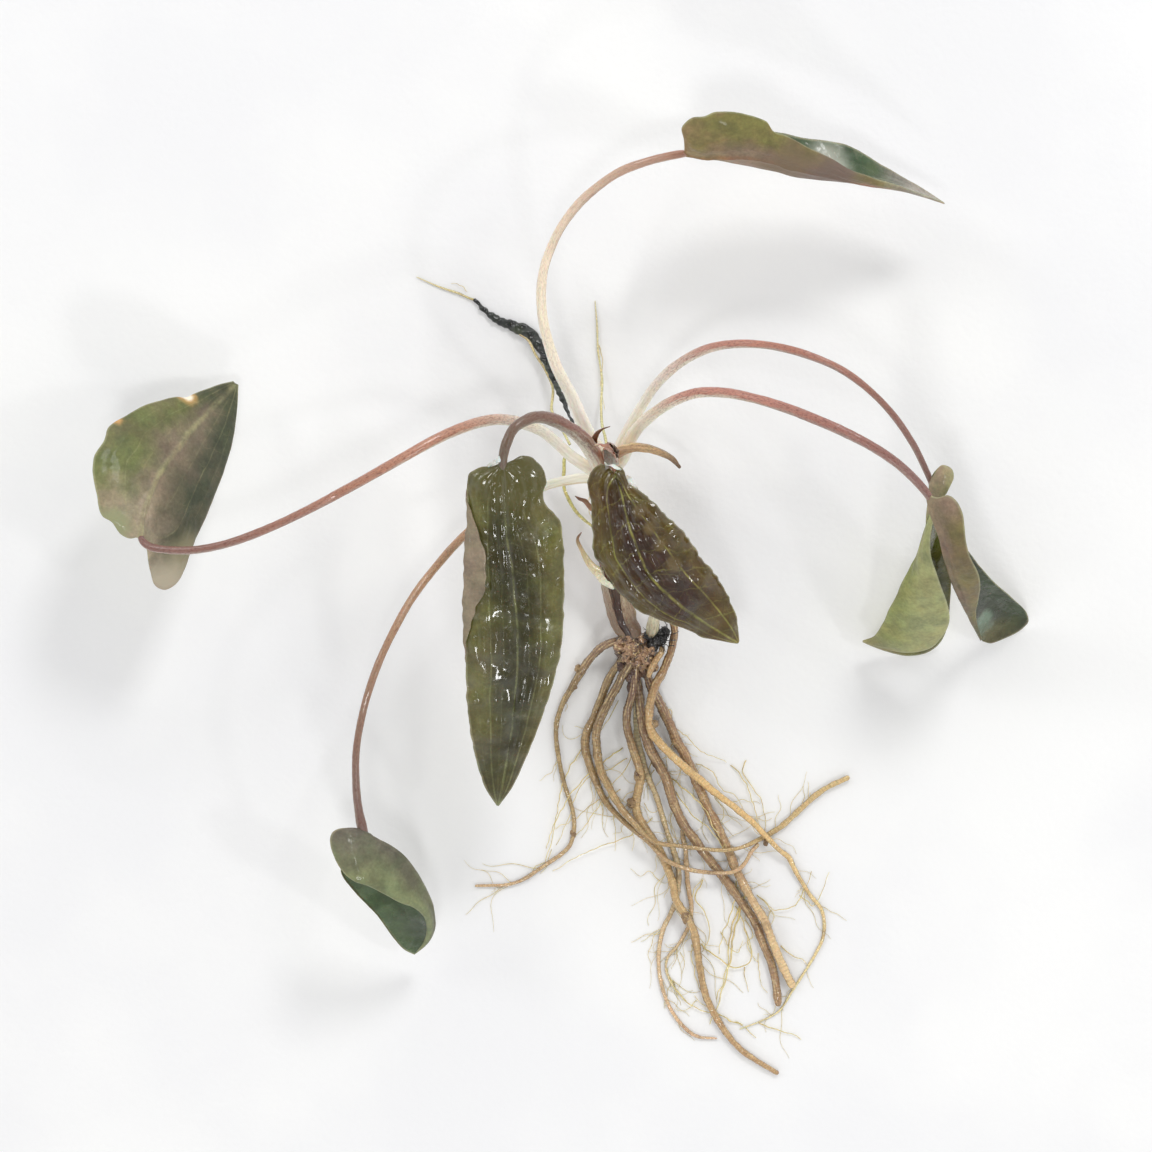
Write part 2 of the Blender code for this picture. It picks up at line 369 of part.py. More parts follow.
def smooth_path(points, count, crowding=1):
    """Points spaced along a smooth curve through the given ones: evenly, or crowded towards its start.

    Each span is a cubic whose end slopes are the average of its neighbours' slopes, weighted by the square
    root of the spans' lengths, so that a short span beside a long one makes no loop.
    """
    points = np.array(points, float)
    gaps = np.sqrt(np.linalg.norm(np.diff(points[:, :3], axis=0), axis=1))[:, None]
    slopes = np.diff(points, axis=0) / gaps
    inner = (slopes[:-1] * gaps[1:] + slopes[1:] * gaps[:-1]) / (gaps[:-1] + gaps[1:])
    tangents = np.vstack([slopes[:1], inner, slopes[-1:]])
    knots = np.concatenate([[0], np.cumsum(gaps)])
    spots = np.linspace(0, knots[-1], CURVE_SAMPLES_PER_SPAN * len(gaps))
    span = np.clip(np.searchsorted(knots, spots, side="right") - 1, 0, len(gaps) - 1)
    t = ((spots - knots[span]) / gaps[span, 0])[:, None]
    curve = (
        points[span] * (1 - 3 * t**2 + 2 * t**3)
        + points[span + 1] * (3 * t**2 - 2 * t**3)
        + tangents[span] * gaps[span] * (t - 2 * t**2 + t**3)
        + tangents[span + 1] * gaps[span] * (t**3 - t**2)
    )
    along = path_lengths(curve)
    spacing = along[-1] * np.linspace(0, 1, count) ** crowding
    return np.column_stack([np.interp(spacing, along, column) for column in curve.T])


def path_lengths(points):
    steps = np.linalg.norm(np.diff(np.array(points, float)[:, :3], axis=0), axis=1)
    return np.concatenate([[0], np.cumsum(steps)])


def tube(name, route, rings, bevel_steps, slot):
    """A round, tapering tube along a route: a curve with a bevel and filled caps."""
    path = smooth_path(route, rings)
    data = bpy.data.curves.new(name, "CURVE")
    data.dimensions = "3D"
    data.bevel_depth = MM
    data.bevel_resolution = bevel_steps
    data.use_fill_caps = True
    spline = data.splines.new("POLY")
    spline.points.add(rings - 1)
    for point, (x, y, z, radius) in zip(spline.points, path):
        point.co = (x * MM, y * MM, z * MM, 1)
        point.radius = radius
    spline.use_smooth = True
    return place(name, data, slot)


def strap(name, route, rings, half_thickness, slot):
    """A flat, tapering strip with a lens-shaped section, lying level across its route."""
    path = smooth_path(route, rings)
    ahead = np.gradient(path[:, :3], axis=0)
    mesh = bmesh.new()
    loops = []
    for (x, y, z, half_width), heading in zip(path, ahead):
        forward = Vector(heading).normalized()
        across = forward.cross(Vector((0, 0, 1))).normalized()
        up = across.cross(forward)
        thickness = min(half_thickness, half_width)
        ring = []
        for step in range(STRAP_SIDES):
            angle = math.tau * step / STRAP_SIDES
            offset = across * half_width * math.cos(angle) + up * thickness * math.sin(angle)
            ring.append(mesh.verts.new((Vector((x, y, z)) + offset) * MM))
        loops.append(ring)
    for here, there in zip(loops, loops[1:]):
        for step in range(STRAP_SIDES):
            after = (step + 1) % STRAP_SIDES
            mesh.faces.new((here[step], here[after], there[after], there[step]))
    mesh.faces.new(loops[0])
    mesh.faces.new(loops[-1])
    return finish_mesh(name, mesh, slot)


def finish_mesh(name, mesh, slot):
    bmesh.ops.recalc_face_normals(mesh, faces=mesh.faces)
    data = bpy.data.meshes.new(name)
    mesh.to_mesh(data)
    mesh.free()
    data.shade_smooth()
    return place(name, data, slot)


def blade_points(blade):
    """The blade's middle surface as rows of points from one margin to the other.

    A row is two chords, from the midrib to each margin at the same share of their lengths, and each chord
    bellies towards the upper side by a share of its own length.
    """
    midrib = smooth_path(blade["midrib"], BLADE_ROWS, BLADE_ROW_CROWDING)
    ahead = np.gradient(midrib, axis=0)
    half = BLADE_COLUMNS // 2
    share = np.linspace(0, 1, half + 1)[None, :, None]
    halves = []
    for side, sign in (("left", -1), ("right", 1)):
        chord = smooth_path(blade[side], BLADE_ROWS, BLADE_ROW_CROWDING) - midrib
        upward = sign * np.cross(ahead, chord)
        upward /= np.linalg.norm(upward, axis=1)[:, None]
        bulge = upward * blade["belly"] * np.linalg.norm(chord, axis=1)[:, None]
        halves.append(
            midrib[:, None] + chord[:, None] * share + bulge[:, None] * 4 * share * (1 - share)
        )
    return np.concatenate([halves[0][:, :0:-1], halves[1]], axis=1)


def leaf_blade(name, blade):
    """A blade with its thickness put half on each side of the middle surface."""
    points = blade_points(blade)
    mesh = bmesh.new()
    grid = [[mesh.verts.new(Vector(point) * MM) for point in row] for row in points]
    for row, following in zip(grid, grid[1:]):
        for column in range(BLADE_COLUMNS - 1):
            corners = (row[column], row[column + 1], following[column + 1], following[column])
            mesh.faces.new(corners)
    piece = finish_mesh(name, mesh, "leaf_blade")
    thickness = piece.modifiers.new("thickness", "SOLIDIFY")
    thickness.thickness = BLADE_THICKNESS * MM
    thickness.offset = 0
    return piece


def lump(name, centre, size, knobs, slot, fineness, flat_at=None):
    """A rounded body with knobs, cut off flat at a height where one is given."""
    mesh = bmesh.new()
    bmesh.ops.create_icosphere(mesh, subdivisions=fineness, radius=1)
    for vertex in mesh.verts:
        way = vertex.co.normalized()
        swelling = 1.0
        for direction, height, sharpness in knobs:
            closeness = max(0.0, way.dot(Vector(direction).normalized()))
            swelling += height * closeness ** (2 * sharpness)
        vertex.co = Vector([(c + s * swelling * w) * MM for c, s, w in zip(centre, size, way)])
    if flat_at is not None:
        everything = mesh.verts[:] + mesh.edges[:] + mesh.faces[:]
        cut = bmesh.ops.bisect_plane(
            mesh, geom=everything, plane_co=(0, 0, flat_at * MM), plane_no=(0, 0, -1), clear_outer=True
        )
        rim = [part for part in cut["geom_cut"] if isinstance(part, bmesh.types.BMEdge)]
        bmesh.ops.edgeloop_fill(mesh, edges=rim)
    return finish_mesh(name, mesh, slot)


def rings_for(route, spacing):
    return max(4, round(path_lengths(route)[-1] / spacing) + 1)


def build_leaves():
    for place_name, route in STALKS.items():
        rings = STALK_RINGS if len(route) > 8 else STALK_RINGS // 2
        tube(f"{place_name}_leaf_stalk", route, rings, STALK_BEVEL_STEPS, "leaf_stalk")
    for place_name, blade in BLADES.items():
        leaf_blade(f"{place_name}_leaf_blade", blade)


def build_roots():
    for name, route in ROOTS.items():
        tube(name, route, rings_for(route, ROOT_RING_SPACING), ROOT_BEVEL_STEPS, "root")
    for name, route in FINE_ROOTS.items():
        tube(name, route, rings_for(route, FINE_ROOT_RING_SPACING), ROOT_BEVEL_STEPS, "fine_root")


def build_stem_and_rhizome():
    lump("rhizome", RHIZOME_CENTRE, RHIZOME_SIZE, RHIZOME_KNOBS, "rhizome", 3, flat_at=0)
    tube("stem", STEM, 12, STALK_BEVEL_STEPS, "rhizome")
    tube("offset_peg", PEG, 3, STALK_BEVEL_STEPS, "rhizome")
    tube("old_stalk_stub", OLD_STALK, 7, STALK_BEVEL_STEPS, "leaf_stalk")
    lump(
        "rotted_leaf_base", ROTTED_BASE_CENTRE, ROTTED_BASE_SIZE, ROTTED_BASE_KNOBS, "rotted_leaf", 2
    )
    strap("dead_strap_leaf", DEAD_LEAF, 16, STRAP_HALF_THICKNESS, "rotted_leaf")
    for name, route in SCALE_LEAVES.items():
        strap(name, route, 6, STRAP_HALF_THICKNESS, "rhizome")


clear_scene()
build_stem_and_rhizome()
build_leaves()
build_roots()
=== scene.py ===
# %% [markdown]
# A bare-root cryptocoryne
#
# This lesson dresses a plant that lies on a pale surface: seven wet leaves on arching stalks, a short stem, a
# rhizome and a tangle of roots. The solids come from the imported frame, at their real size, in metres. Each piece
# below is worked out as a surface of two parameters with numpy and takes the place of a plain solid.

import bpy
import numpy as np
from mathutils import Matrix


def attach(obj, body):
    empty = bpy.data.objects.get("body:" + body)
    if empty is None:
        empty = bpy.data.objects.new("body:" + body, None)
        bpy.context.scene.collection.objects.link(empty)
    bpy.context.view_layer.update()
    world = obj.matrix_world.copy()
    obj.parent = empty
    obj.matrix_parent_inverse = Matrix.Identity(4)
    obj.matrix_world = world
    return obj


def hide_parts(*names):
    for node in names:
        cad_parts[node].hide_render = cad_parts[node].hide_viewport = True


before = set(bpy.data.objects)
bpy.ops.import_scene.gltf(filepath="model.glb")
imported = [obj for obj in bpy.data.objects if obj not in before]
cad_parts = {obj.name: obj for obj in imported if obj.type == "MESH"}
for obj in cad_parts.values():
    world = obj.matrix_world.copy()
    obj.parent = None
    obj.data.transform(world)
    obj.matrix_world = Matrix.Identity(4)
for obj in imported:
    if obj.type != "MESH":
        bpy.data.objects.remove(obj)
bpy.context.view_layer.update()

# %% [markdown]
# Units and colours
#
# Routes and outlines are lists of points in millimetres, because that is how one measures a leaf.
# The meshes are in metres. Colours are written as the eye reads them on a screen, from 0 to 255, and turned into
# the linear light that Blender works with.

# %% Millimetres and screen colours
MM = 0.001


def tint(red, green, blue):
    """Linear colour of a screen colour: the screen's curve undone, channel by channel."""
    screen = np.array([red, green, blue]) / 255
    linear = np.where(screen <= 0.04045, screen / 12.92, ((screen + 0.055) / 1.055) ** 2.4)
    return (*[float(channel) for channel in linear], 1.0)


print("a mid grey is", tint(128, 128, 128)[0])

# %% [markdown]
# The camera
#
# The picture was taken from straight above, with the roots towards the lower edge. A camera 0.9 m up with a long
# lens sees a square of 230 mm on the surface, and the tall leaves come out a little larger than the roots do.

# %% Place the camera
VIEW_CENTRE = (2.0, 4.95)
VIEW_WIDTH = 230.4
VIEW_DISTANCE = 900.0
SENSOR_WIDTH = 36.0


def put_in_scene(name, data):
    """A new object of that name with the given data, linked into the scene."""
    made = bpy.data.objects.new(name, data)
    bpy.context.scene.collection.objects.link(made)
    return made


camera = put_in_scene("camera", bpy.data.cameras.new("camera"))
camera.data.sensor_width = SENSOR_WIDTH
camera.data.lens = SENSOR_WIDTH * VIEW_DISTANCE / VIEW_WIDTH
camera.location = (VIEW_CENTRE[0] * MM, VIEW_CENTRE[1] * MM, VIEW_DISTANCE * MM)
bpy.context.scene.camera = camera
print("lens:", round(camera.data.lens, 1), "mm")

# %% [markdown]
# Light
#
# Every leaf throws two soft shadows, a darker one to the lower left and a faint one to the lower right, so there
# are two softboxes, at the upper right and the upper left. The surroundings are nearly as bright, which keeps the
# shadows thin, but darker straight above, where the camera hangs, so the wet leaves keep their deep colours. Three
# small lamps put the glints on them.

# %% Set up the lights
LIGHTS = {
    "softbox": {"at": (0.3, 0.78, 0.86), "size": 0.24, "power": 3.5},
    "far_box": {"at": (-0.86, 0.6, 0.8), "size": 0.3, "power": 1.7},
    "glint": {"at": (-0.06, -0.2, 1.1), "size": 0.12, "power": 1.3},
    "low_glint": {"at": (0.12, -0.66, 0.8), "size": 0.1, "power": 0.9},
    "side_glint": {"at": (0.62, -0.1, 0.86), "size": 0.08, "power": 0.7},
}
SKY = {0.0: (0.98, 0.98, 0.98), 0.5: (0.9, 0.9, 0.905), 0.8: (0.42, 0.42, 0.42), 1.0: (0.08, 0.08, 0.08)}
SKY_STRENGTH = 1.07


def add_light(name, at, size, power):
    """A square lamp, its strength in watts, that faces the plant.

    With d the direction from the lamp to the plant: tilted by arccos(-d.z), turned by arctan2(d.y, d.x) - 90 degrees.
    """
    lamp = bpy.data.lights.new(name, "AREA")
    lamp.size = size
    lamp.energy = power
    toward = -np.array(at) / np.linalg.norm(at)
    holder = put_in_scene(name, lamp)
    holder.location = at
    holder.rotation_euler = (np.arccos(-toward[2]), 0, np.arctan2(toward[1], toward[0]) - np.pi / 2)


for light_name, settings in LIGHTS.items():
    add_light(light_name, **settings)

world = bpy.data.worlds.new("surroundings")
world.use_nodes = True
sky = world.node_tree
toward_sky = sky.nodes.new("ShaderNodeTexCoord")
height_of_sky = sky.nodes.new("ShaderNodeSeparateXYZ")
ramp = sky.nodes.new("ShaderNodeValToRGB")
sky.links.new(toward_sky.outputs["Generated"], height_of_sky.inputs[0])
sky.links.new(height_of_sky.outputs["Z"], ramp.inputs["Fac"])
sky.links.new(ramp.outputs["Color"], sky.nodes["Background"].inputs["Color"])
for stop, (height, colour) in enumerate(SKY.items()):
    place = ramp.color_ramp.elements[stop] if stop < 2 else ramp.color_ramp.elements.new(height)
    place.position = height
    place.color = (*colour, 1)
sky.nodes["Background"].inputs["Strength"].default_value = SKY_STRENGTH
bpy.context.scene.world = world
bpy.context.scene.view_settings.view_transform = "Standard"
print("lights:", ", ".join(LIGHTS))

# %% [markdown]
# Materials, made of nodes
#
# Each finish is a small tree of nodes. A helper that adds one node, sets its options and connects its inputs in
# one call keeps a tree as short as the idea behind it. What a node puts out is held in a small class that knows
# sums, so that height = bands * 2 - rings adds the two nodes that work it out.

# %% Helpers for nodes
GREY = (0.5, 0.5, 0.5, 1)


class Output:
    """What a node puts out. A sum written with it adds the nodes that work the sum out."""

    def __init__(self, socket):
        """The socket, and the tree of nodes that it belongs to."""
        self.socket = socket
        self.tree = socket.id_data

    def maths(self, operation, *others):
        """The result of one operation on this output and the others."""
        return add(self.tree, "ShaderNodeMath", dict(enumerate((self, *others))), operation=operation)

    def __add__(self, other):
        """This output + another, or a number."""
        return self.maths("ADD", other)

    def __sub__(self, other):
        """This output - another, or a number."""
        return self.maths("SUBTRACT", other)

    def __mul__(self, other):
        """This output * another, or a number."""
        return self.maths("MULTIPLY", other)

    def __truediv__(self, other):
        """This output / another, or a number."""
        return self.maths("DIVIDE", other)

    def __abs__(self):
        """This output without its sign."""
        return self.maths("ABSOLUTE")


def feed(node, inputs):
    """Gives a node's inputs their values, or connects the outputs that feed them."""
    for name, value in inputs.items():
        if isinstance(value, Output):
            value.tree.links.new(value.socket, node.inputs[name])
        else:
            node.inputs[name].default_value = value


def add_node(tree, kind, inputs=None, **options):
    """Adds a node and feeds it: options are its own settings."""
    made = tree.nodes.new(kind)
    for option, value in options.items():
        setattr(made, option, value)
    feed(made, inputs or {})
    return made


def add(tree, kind, inputs=None, output=0, **options):
    """One output of a new node, by number or name."""
    return Output(add_node(tree, kind, inputs, **options).outputs[output])


def place_of(tree):
    """Where a point lies in the scene, in metres, as the pieces stand at its origin."""
    return add(tree, "ShaderNodeTexCoord", output="Object")


def carried(tree, name, output="Fac"):
    """A value that the mesh carries at each point."""
    return add(tree, "ShaderNodeAttribute", output=output, attribute_name=name)


def blend(share, first, second):
    """The first colour where share is 0 and the second where it is 1."""
    tree = next(value.tree for value in (share, first, second) if isinstance(value, Output))
    return add(tree, "ShaderNodeMix", {0: share, 6: first, 7: second}, 2, data_type="RGBA")


def blend_numbers(share, first, second):
    """The first number where share is 0 and the second where it is 1."""
    return add(share.tree, "ShaderNodeMix", {0: share, 2: first, 3: second}, data_type="FLOAT")


def remap(value, low, high, low_out=0.0, high_out=1.0):
    """Value carried smoothly from the range low..high to low_out..high_out, and held at its ends."""
    inputs = {"Value": value, "From Min": low, "From Max": high, "To Min": low_out, "To Max": high_out}
    return add(value.tree, "ShaderNodeMapRange", inputs, "Result", interpolation_type="SMOOTHSTEP")


def noise(vector, scale, detail=3.0, roughness=0.5):
    """Smooth random values around 0.5. Scale is how many lumps go to a metre, or to one unit of the vector."""
    inputs = {"Vector": vector, "Scale": scale, "Detail": detail, "Roughness": roughness}
    return add(vector.tree, "ShaderNodeTexNoise", inputs)


def stretched(vector, factors):
    """The vector with each of its three parts multiplied by a factor."""
    return add(vector.tree, "ShaderNodeVectorMath", {0: vector, 1: factors}, operation="MULTIPLY")


def shaded(colour, value, hue=0.5):
    """The colour made lighter or darker by the factor value, and its hue turned where hue isn't 0.5."""
    return add(colour.tree, "ShaderNodeHueSaturation", {"Color": colour, "Value": value, "Hue": hue})


def new_group(name, inputs, outputs):
    """An empty shader group, what comes in by name, and the node that its results go to."""
    group = bpy.data.node_groups.new(name, "ShaderNodeTree")
    for label, value in inputs.items():
        kind = "NodeSocketColor" if isinstance(value, tuple) else "NodeSocketFloat"
        group.interface.new_socket(label, in_out="INPUT", socket_type=kind).default_value = value
    for label in outputs:
        kind = "NodeSocketColor" if label == "Color" else "NodeSocketFloat"
        group.interface.new_socket(label, in_out="OUTPUT", socket_type=kind)
    given = group.nodes.new("NodeGroupInput")
    return group, {socket.name: Output(socket) for socket in given.outputs}, group.nodes.new("NodeGroupOutput")


def use_group(tree, group, inputs):
    """The outputs, by name, of a group fed with inputs of its own."""
    made = add_node(tree, "ShaderNodeGroup", inputs, node_tree=group)
    return {socket.name: Output(socket) for socket in made.outputs}


def new_material(name):
    """A material with an empty Principled shader."""
    material = bpy.data.materials.new(name)
    material.use_nodes = True
    return material


def finish(material, colour, roughness, relief, strength, depth, others=None):
    """Feeds the shader. Relief becomes a bump of that strength and depth in metres, others go in by socket name."""
    tree = material.node_tree
    bump = add(tree, "ShaderNodeBump", {"Height": relief, "Strength": strength, "Distance": depth})
    inputs = {"Base Color": colour, "Roughness": roughness, "Normal": bump}
    feed(tree.nodes["Principled BSDF"], {**inputs, **(others or {})})
    return material


print("node helpers are ready")

# %% [markdown]
# The surface
#
# The plant lies on something pale and even, like thick white paper. A very faint mottling and grain is enough to
# keep the shadows from looking painted on.

# %% Lay the floor
FLOOR_SIZE = 3.0
FLOOR_DROP = 0.00002


def pale_finish():
    """Near white, with broad faint clouds and a fine grain."""
    material = new_material("pale_surface")
    place = place_of(material.node_tree)
    colour = blend(remap(noise(place, 14.0, 4.0), 0.35, 0.65), tint(243, 243, 244), tint(250, 250, 249))
    return finish(material, colour, 0.85, noise(place, 700.0), strength=0.25, depth=0.0004)


half_floor = FLOOR_SIZE / 2
corners = [(-half_floor, -half_floor), (half_floor, -half_floor), (half_floor, half_floor), (-half_floor, half_floor)]
floor_mesh = bpy.data.meshes.new("floor")
floor_mesh.from_pydata([(x, y, -FLOOR_DROP) for x, y in corners], [], [(0, 1, 2, 3)])
floor_mesh.materials.append(pale_finish())
floor = put_in_scene("floor", floor_mesh)
print("floor:", FLOOR_SIZE, "m wide")

# %% [markdown]
# Curves through points
#
# Every stalk, root and leaf margin runs through given points. A chain of cubics whose slopes
# average those of the neighbours passes through all of them. Weighting by the square root of each gap keeps the
# curve from looping where a short gap follows a long one.

# %% Smooth routes
SAMPLES_PER_GAP = 30


def path_lengths(points):
    """How far along the chain of points each one lies."""
    steps = np.linalg.norm(np.diff(points[:, :3], axis=0), axis=1)
    return np.concatenate([[0], np.cumsum(steps)])


def smooth_route(points, count, crowding=1.0):
    """Points along a smooth curve through the given ones.

    Between two points: each end's place and slope, weighted by the cubics 1-3t2+2t3, 3t2-2t3, t-2t2+t3 and
    t3-t2. The results stand at even steps of the share, raised to the power crowding, of the curve's length.
    """
    points = np.array(points, float)
    gaps = np.sqrt(np.linalg.norm(np.diff(points[:, :3], axis=0), axis=1))[:, None]
    slopes = np.diff(points, axis=0) / gaps
    inner = (slopes[:-1] * gaps[1:] + slopes[1:] * gaps[:-1]) / (gaps[:-1] + gaps[1:])
    tangents = np.vstack([slopes[:1], inner, slopes[-1:]])
    knots = np.concatenate([[0], np.cumsum(gaps)])
    spots = np.linspace(0, knots[-1], SAMPLES_PER_GAP * len(gaps))
    gap = np.clip(np.searchsorted(knots, spots, side="right") - 1, 0, len(gaps) - 1)
    t = ((spots - knots[gap]) / gaps[gap, 0])[:, None]
    curve = points[gap] * (1 - 3 * t**2 + 2 * t**3) + points[gap + 1] * (3 * t**2 - 2 * t**3)
    curve += gaps[gap] * (tangents[gap] * (t - 2 * t**2 + t**3) + tangents[gap + 1] * (t**3 - t**2))
    along = path_lengths(curve)
    spacing = along[-1] * np.linspace(0, 1, count) ** crowding
    return np.column_stack([np.interp(spacing, along, column) for column in curve.T])


def unit(vectors):
    """The vectors, each brought to length one."""
    return vectors / np.maximum(np.linalg.norm(vectors, axis=-1, keepdims=True), 1e-12)


def route_frames(route):
    """Directions to the side and up at each point of a route.

    Side is ahead crossed with the world axis that the route follows least, and up is side crossed with ahead.
    """
    ahead = unit(np.gradient(route[:, :3], axis=0))
    reference = np.eye(3)[np.argmin(np.abs(ahead).max(axis=0))]
    side = unit(np.cross(ahead, reference))
    return side, np.cross(side, ahead)


quarter = smooth_route([(1, 0, 0), (0.707, 0.707, 0), (0, 1, 0)], 20)
print("a smooth quarter circle strays by", round(float(abs(np.linalg.norm(quarter, axis=1) - 1).max()), 3))

# %% [markdown]
# From a grid to a closed mesh
#
# A surface of two parameters is a grid of points: rows along the piece and columns around it. Joining the last
# column to the first makes a tube, and a fan of triangles at each end closes it. A leaf is such a tube too, with
# its section pressed flat. The sign of the enclosed volume tells whether the faces point outwards.

# %% Grids into pieces


def grid_faces(rows, columns):
    """Corner numbers of the four-sided faces of a wrapped grid, and of the two closing fans of triangles."""
    row, column = np.meshgrid(np.arange(rows - 1), np.arange(columns), indexing="ij")
    after = (column + 1) % columns
    below = row + 1
    corners = [row * columns + column, below * columns + column, below * columns + after, row * columns + after]
    quads = np.stack(corners, axis=-1).reshape(-1, 4)
    ring = np.arange(columns)
    following = (ring + 1) % columns
    last = (rows - 1) * columns
    start_fan = np.column_stack([np.full(columns, rows * columns), ring, following])
    end_fan = np.column_stack([np.full(columns, rows * columns + 1), last + following, last + ring])
    return quads, np.vstack([start_fan, end_fan])


def enclosed_volume(points, quads, fans):
    """Volume inside the faces: a sixth of the sum of every triangle's triple product."""
    triangles = np.vstack([quads[:, [0, 1, 2]], quads[:, [0, 2, 3]], fans])
    a, b, c = points[triangles[:, 0]], points[triangles[:, 1]], points[triangles[:, 2]]
    return float(np.einsum("ij,ij->i", a, np.cross(b, c)).sum() / 6)


def fill_mesh(name, points, quads, triangles, values):
    """A smooth-shaded mesh in metres from millimetre points, with a value of each name at every point."""
    mesh = bpy.data.meshes.new(name)
    mesh.vertices.add(len(points))
    mesh.vertices.foreach_set("co", np.ascontiguousarray(points * MM, np.float32).ravel())
    corners = np.concatenate([quads.ravel(), triangles.ravel()]).astype(np.int32)
    mesh.loops.add(len(corners))
    mesh.loops.foreach_set("vertex_index", corners)
    starts = np.concatenate([np.arange(len(quads)) * 4, len(quads) * 4 + np.arange(len(triangles)) * 3])
    mesh.polygons.add(len(starts))
    mesh.polygons.foreach_set("loop_start", starts.astype(np.int32))
    mesh.update(calc_edges=True)
    for label, data in values.items():
        kind, field = ("FLOAT", "value") if data.shape[-1] == 1 else ("FLOAT_VECTOR", "vector")
        attribute = mesh.attributes.new(label, kind, "POINT")
        attribute.data.foreach_set(field, np.ascontiguousarray(data, np.float32).ravel())
    mesh.shade_smooth()
    mesh.validate()
    return mesh


def with_ends(data):
    """Each grid's values as one list, with the means of its first and its last ring added at the end."""
    ends = np.stack([data[:, 0].mean(axis=1), data[:, -1].mean(axis=1)], axis=1)
    return np.concatenate([data.reshape(len(data), -1, data.shape[-1]), ends], axis=1)


def closed_piece(name, grids, values):
    """One object from one or more wrapped grids of the same size, each closed at its ends."""
    grids = np.asarray(grids, float)
    grids = grids[None] if grids.ndim == 3 else grids
    points = with_ends(grids)
    quads, fans = grid_faces(*grids.shape[1:3])
    if enclosed_volume(points[0], quads, fans) < 0:
        quads, fans = quads[:, ::-1], fans[:, ::-1]
    shift = (np.arange(len(grids)) * points.shape[1])[:, None, None]
    quads, fans = (quads + shift).reshape(-1, 4), (fans + shift).reshape(-1, 3)
    values = {label: with_ends(np.reshape(data, (*grids.shape[:3], -1))) for label, data in values.items()}
    return put_in_scene(name, fill_mesh(name, points.reshape(-1, 3), quads, fans, values))


def folded_back(upper, lower=None):
    """Rows that run across the upper skin and back across the lower one, which carries the same unless it's given."""
    return np.concatenate([upper, (upper if lower is None else lower)[:, ::-1]], axis=1)


def dress(piece, material, slot, *nodes):
    """Gives a piece its material, lets it ride on the plant and hides the solids it stands for."""
    piece.data.materials.append(material)
    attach(piece, "root")
    if nodes:
        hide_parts(*nodes)


print("a grid of 4 by 3 has", len(grid_faces(4, 3)[0]), "four-sided faces")

# %% [markdown]
# Unevenness
#
# Nothing on a plant is exactly round. A sum of sine waves that cross space in drawn directions gives smooth random
# heights at any point, and the same seed always gives the same ones. Roots, stalks, sheaths and the rhizome all
# take their lumps from it.

# %% Smooth random heights


def rough(points, size, seed, waves=14):
    """Smooth random heights around 0 at points in space.

    The sum of sin(2 pi * distance along a drawn direction / a wavelength near size + a drawn start), divided by
    the square root of the number of waves.
    """
    random = np.random.default_rng(seed)
    ways = unit(random.normal(size=(waves, 3)))
    lengths = size * random.uniform(0.6, 1.7, waves)
    starts = random.uniform(0, 2 * np.pi, waves)
    phases = 2 * np.pi * points @ (ways / lengths[:, None]).T + starts
    return np.sin(phases).sum(axis=-1) / np.sqrt(waves)


sample = rough(np.random.default_rng(1).uniform(0, 50, (2000, 3)), 5, 2)
print("heights spread about", round(float(sample.std()), 2), "around", round(float(sample.mean()), 2))

# %% [markdown]
# Leaf tissue
#
# A cryptocoryne blade has a strong midrib, a few long veins that arch from base to tip, and a net of fine veins
# between them. The upper side is dark, wet and glossy. The underside is paler and duller, often mauve towards the
# stalk, and its two halves can differ. The veins follow the leaf, not space, so each blade carries where every
# point lies in it: how far along in millimetres, what share out from the midrib, and how many millimetres that
# half is wide there. It also carries how far the margin is, because the thin margin is painted paler, partly as a
# painted highlight along the edge, and which skin the point is on. The group below turns that into colour, gloss
# and height. Wetness says how much of the gloss stays.

# %% The leaf tissue group
LONG_VEINS = (0.27, 0.52, 0.76)
LONG_VEIN_WIDTHS = {"Inner Veins": 0.26, "Middle Veins": 0.26, "Outer Veins": 0.22}
CROSS_VEINS_PER_MM = 0.2
NET_CELLS_PER_MM = 0.34
DRIED_SPOT = (146, 142, 122)
# Partly a painted highlight: the pale that the thin margin of every leaf is blended towards.
PALE_MARGIN_AND_HIGHLIGHT = (176, 176, 140)
LEAF_COLOURS = (
    "Upper Centre", "Upper Edge", "Upper Vein",
    "Under Centre", "Under Left", "Under Right", "Under Base", "Under Vein", "Tip",
)
LEAF_MEASURES = {
    "Midrib": 0.5, "Midrib Width": 0.4, "Inner Veins": 0.1, "Middle Veins": 0.3, "Outer Veins": 0.1, "Net": 0.1,
    "Base Length": 13.0, "Tip From": 500.0, "Wetness": 1.0,
}


def vein_line(out, reach, place, width):
    """1 on the line where the share out equals place, falling to 0 over width millimetres on both sides."""
    return remap(abs(out - place) * reach / width, 0.15, 1.0, 1.0, 0.0)


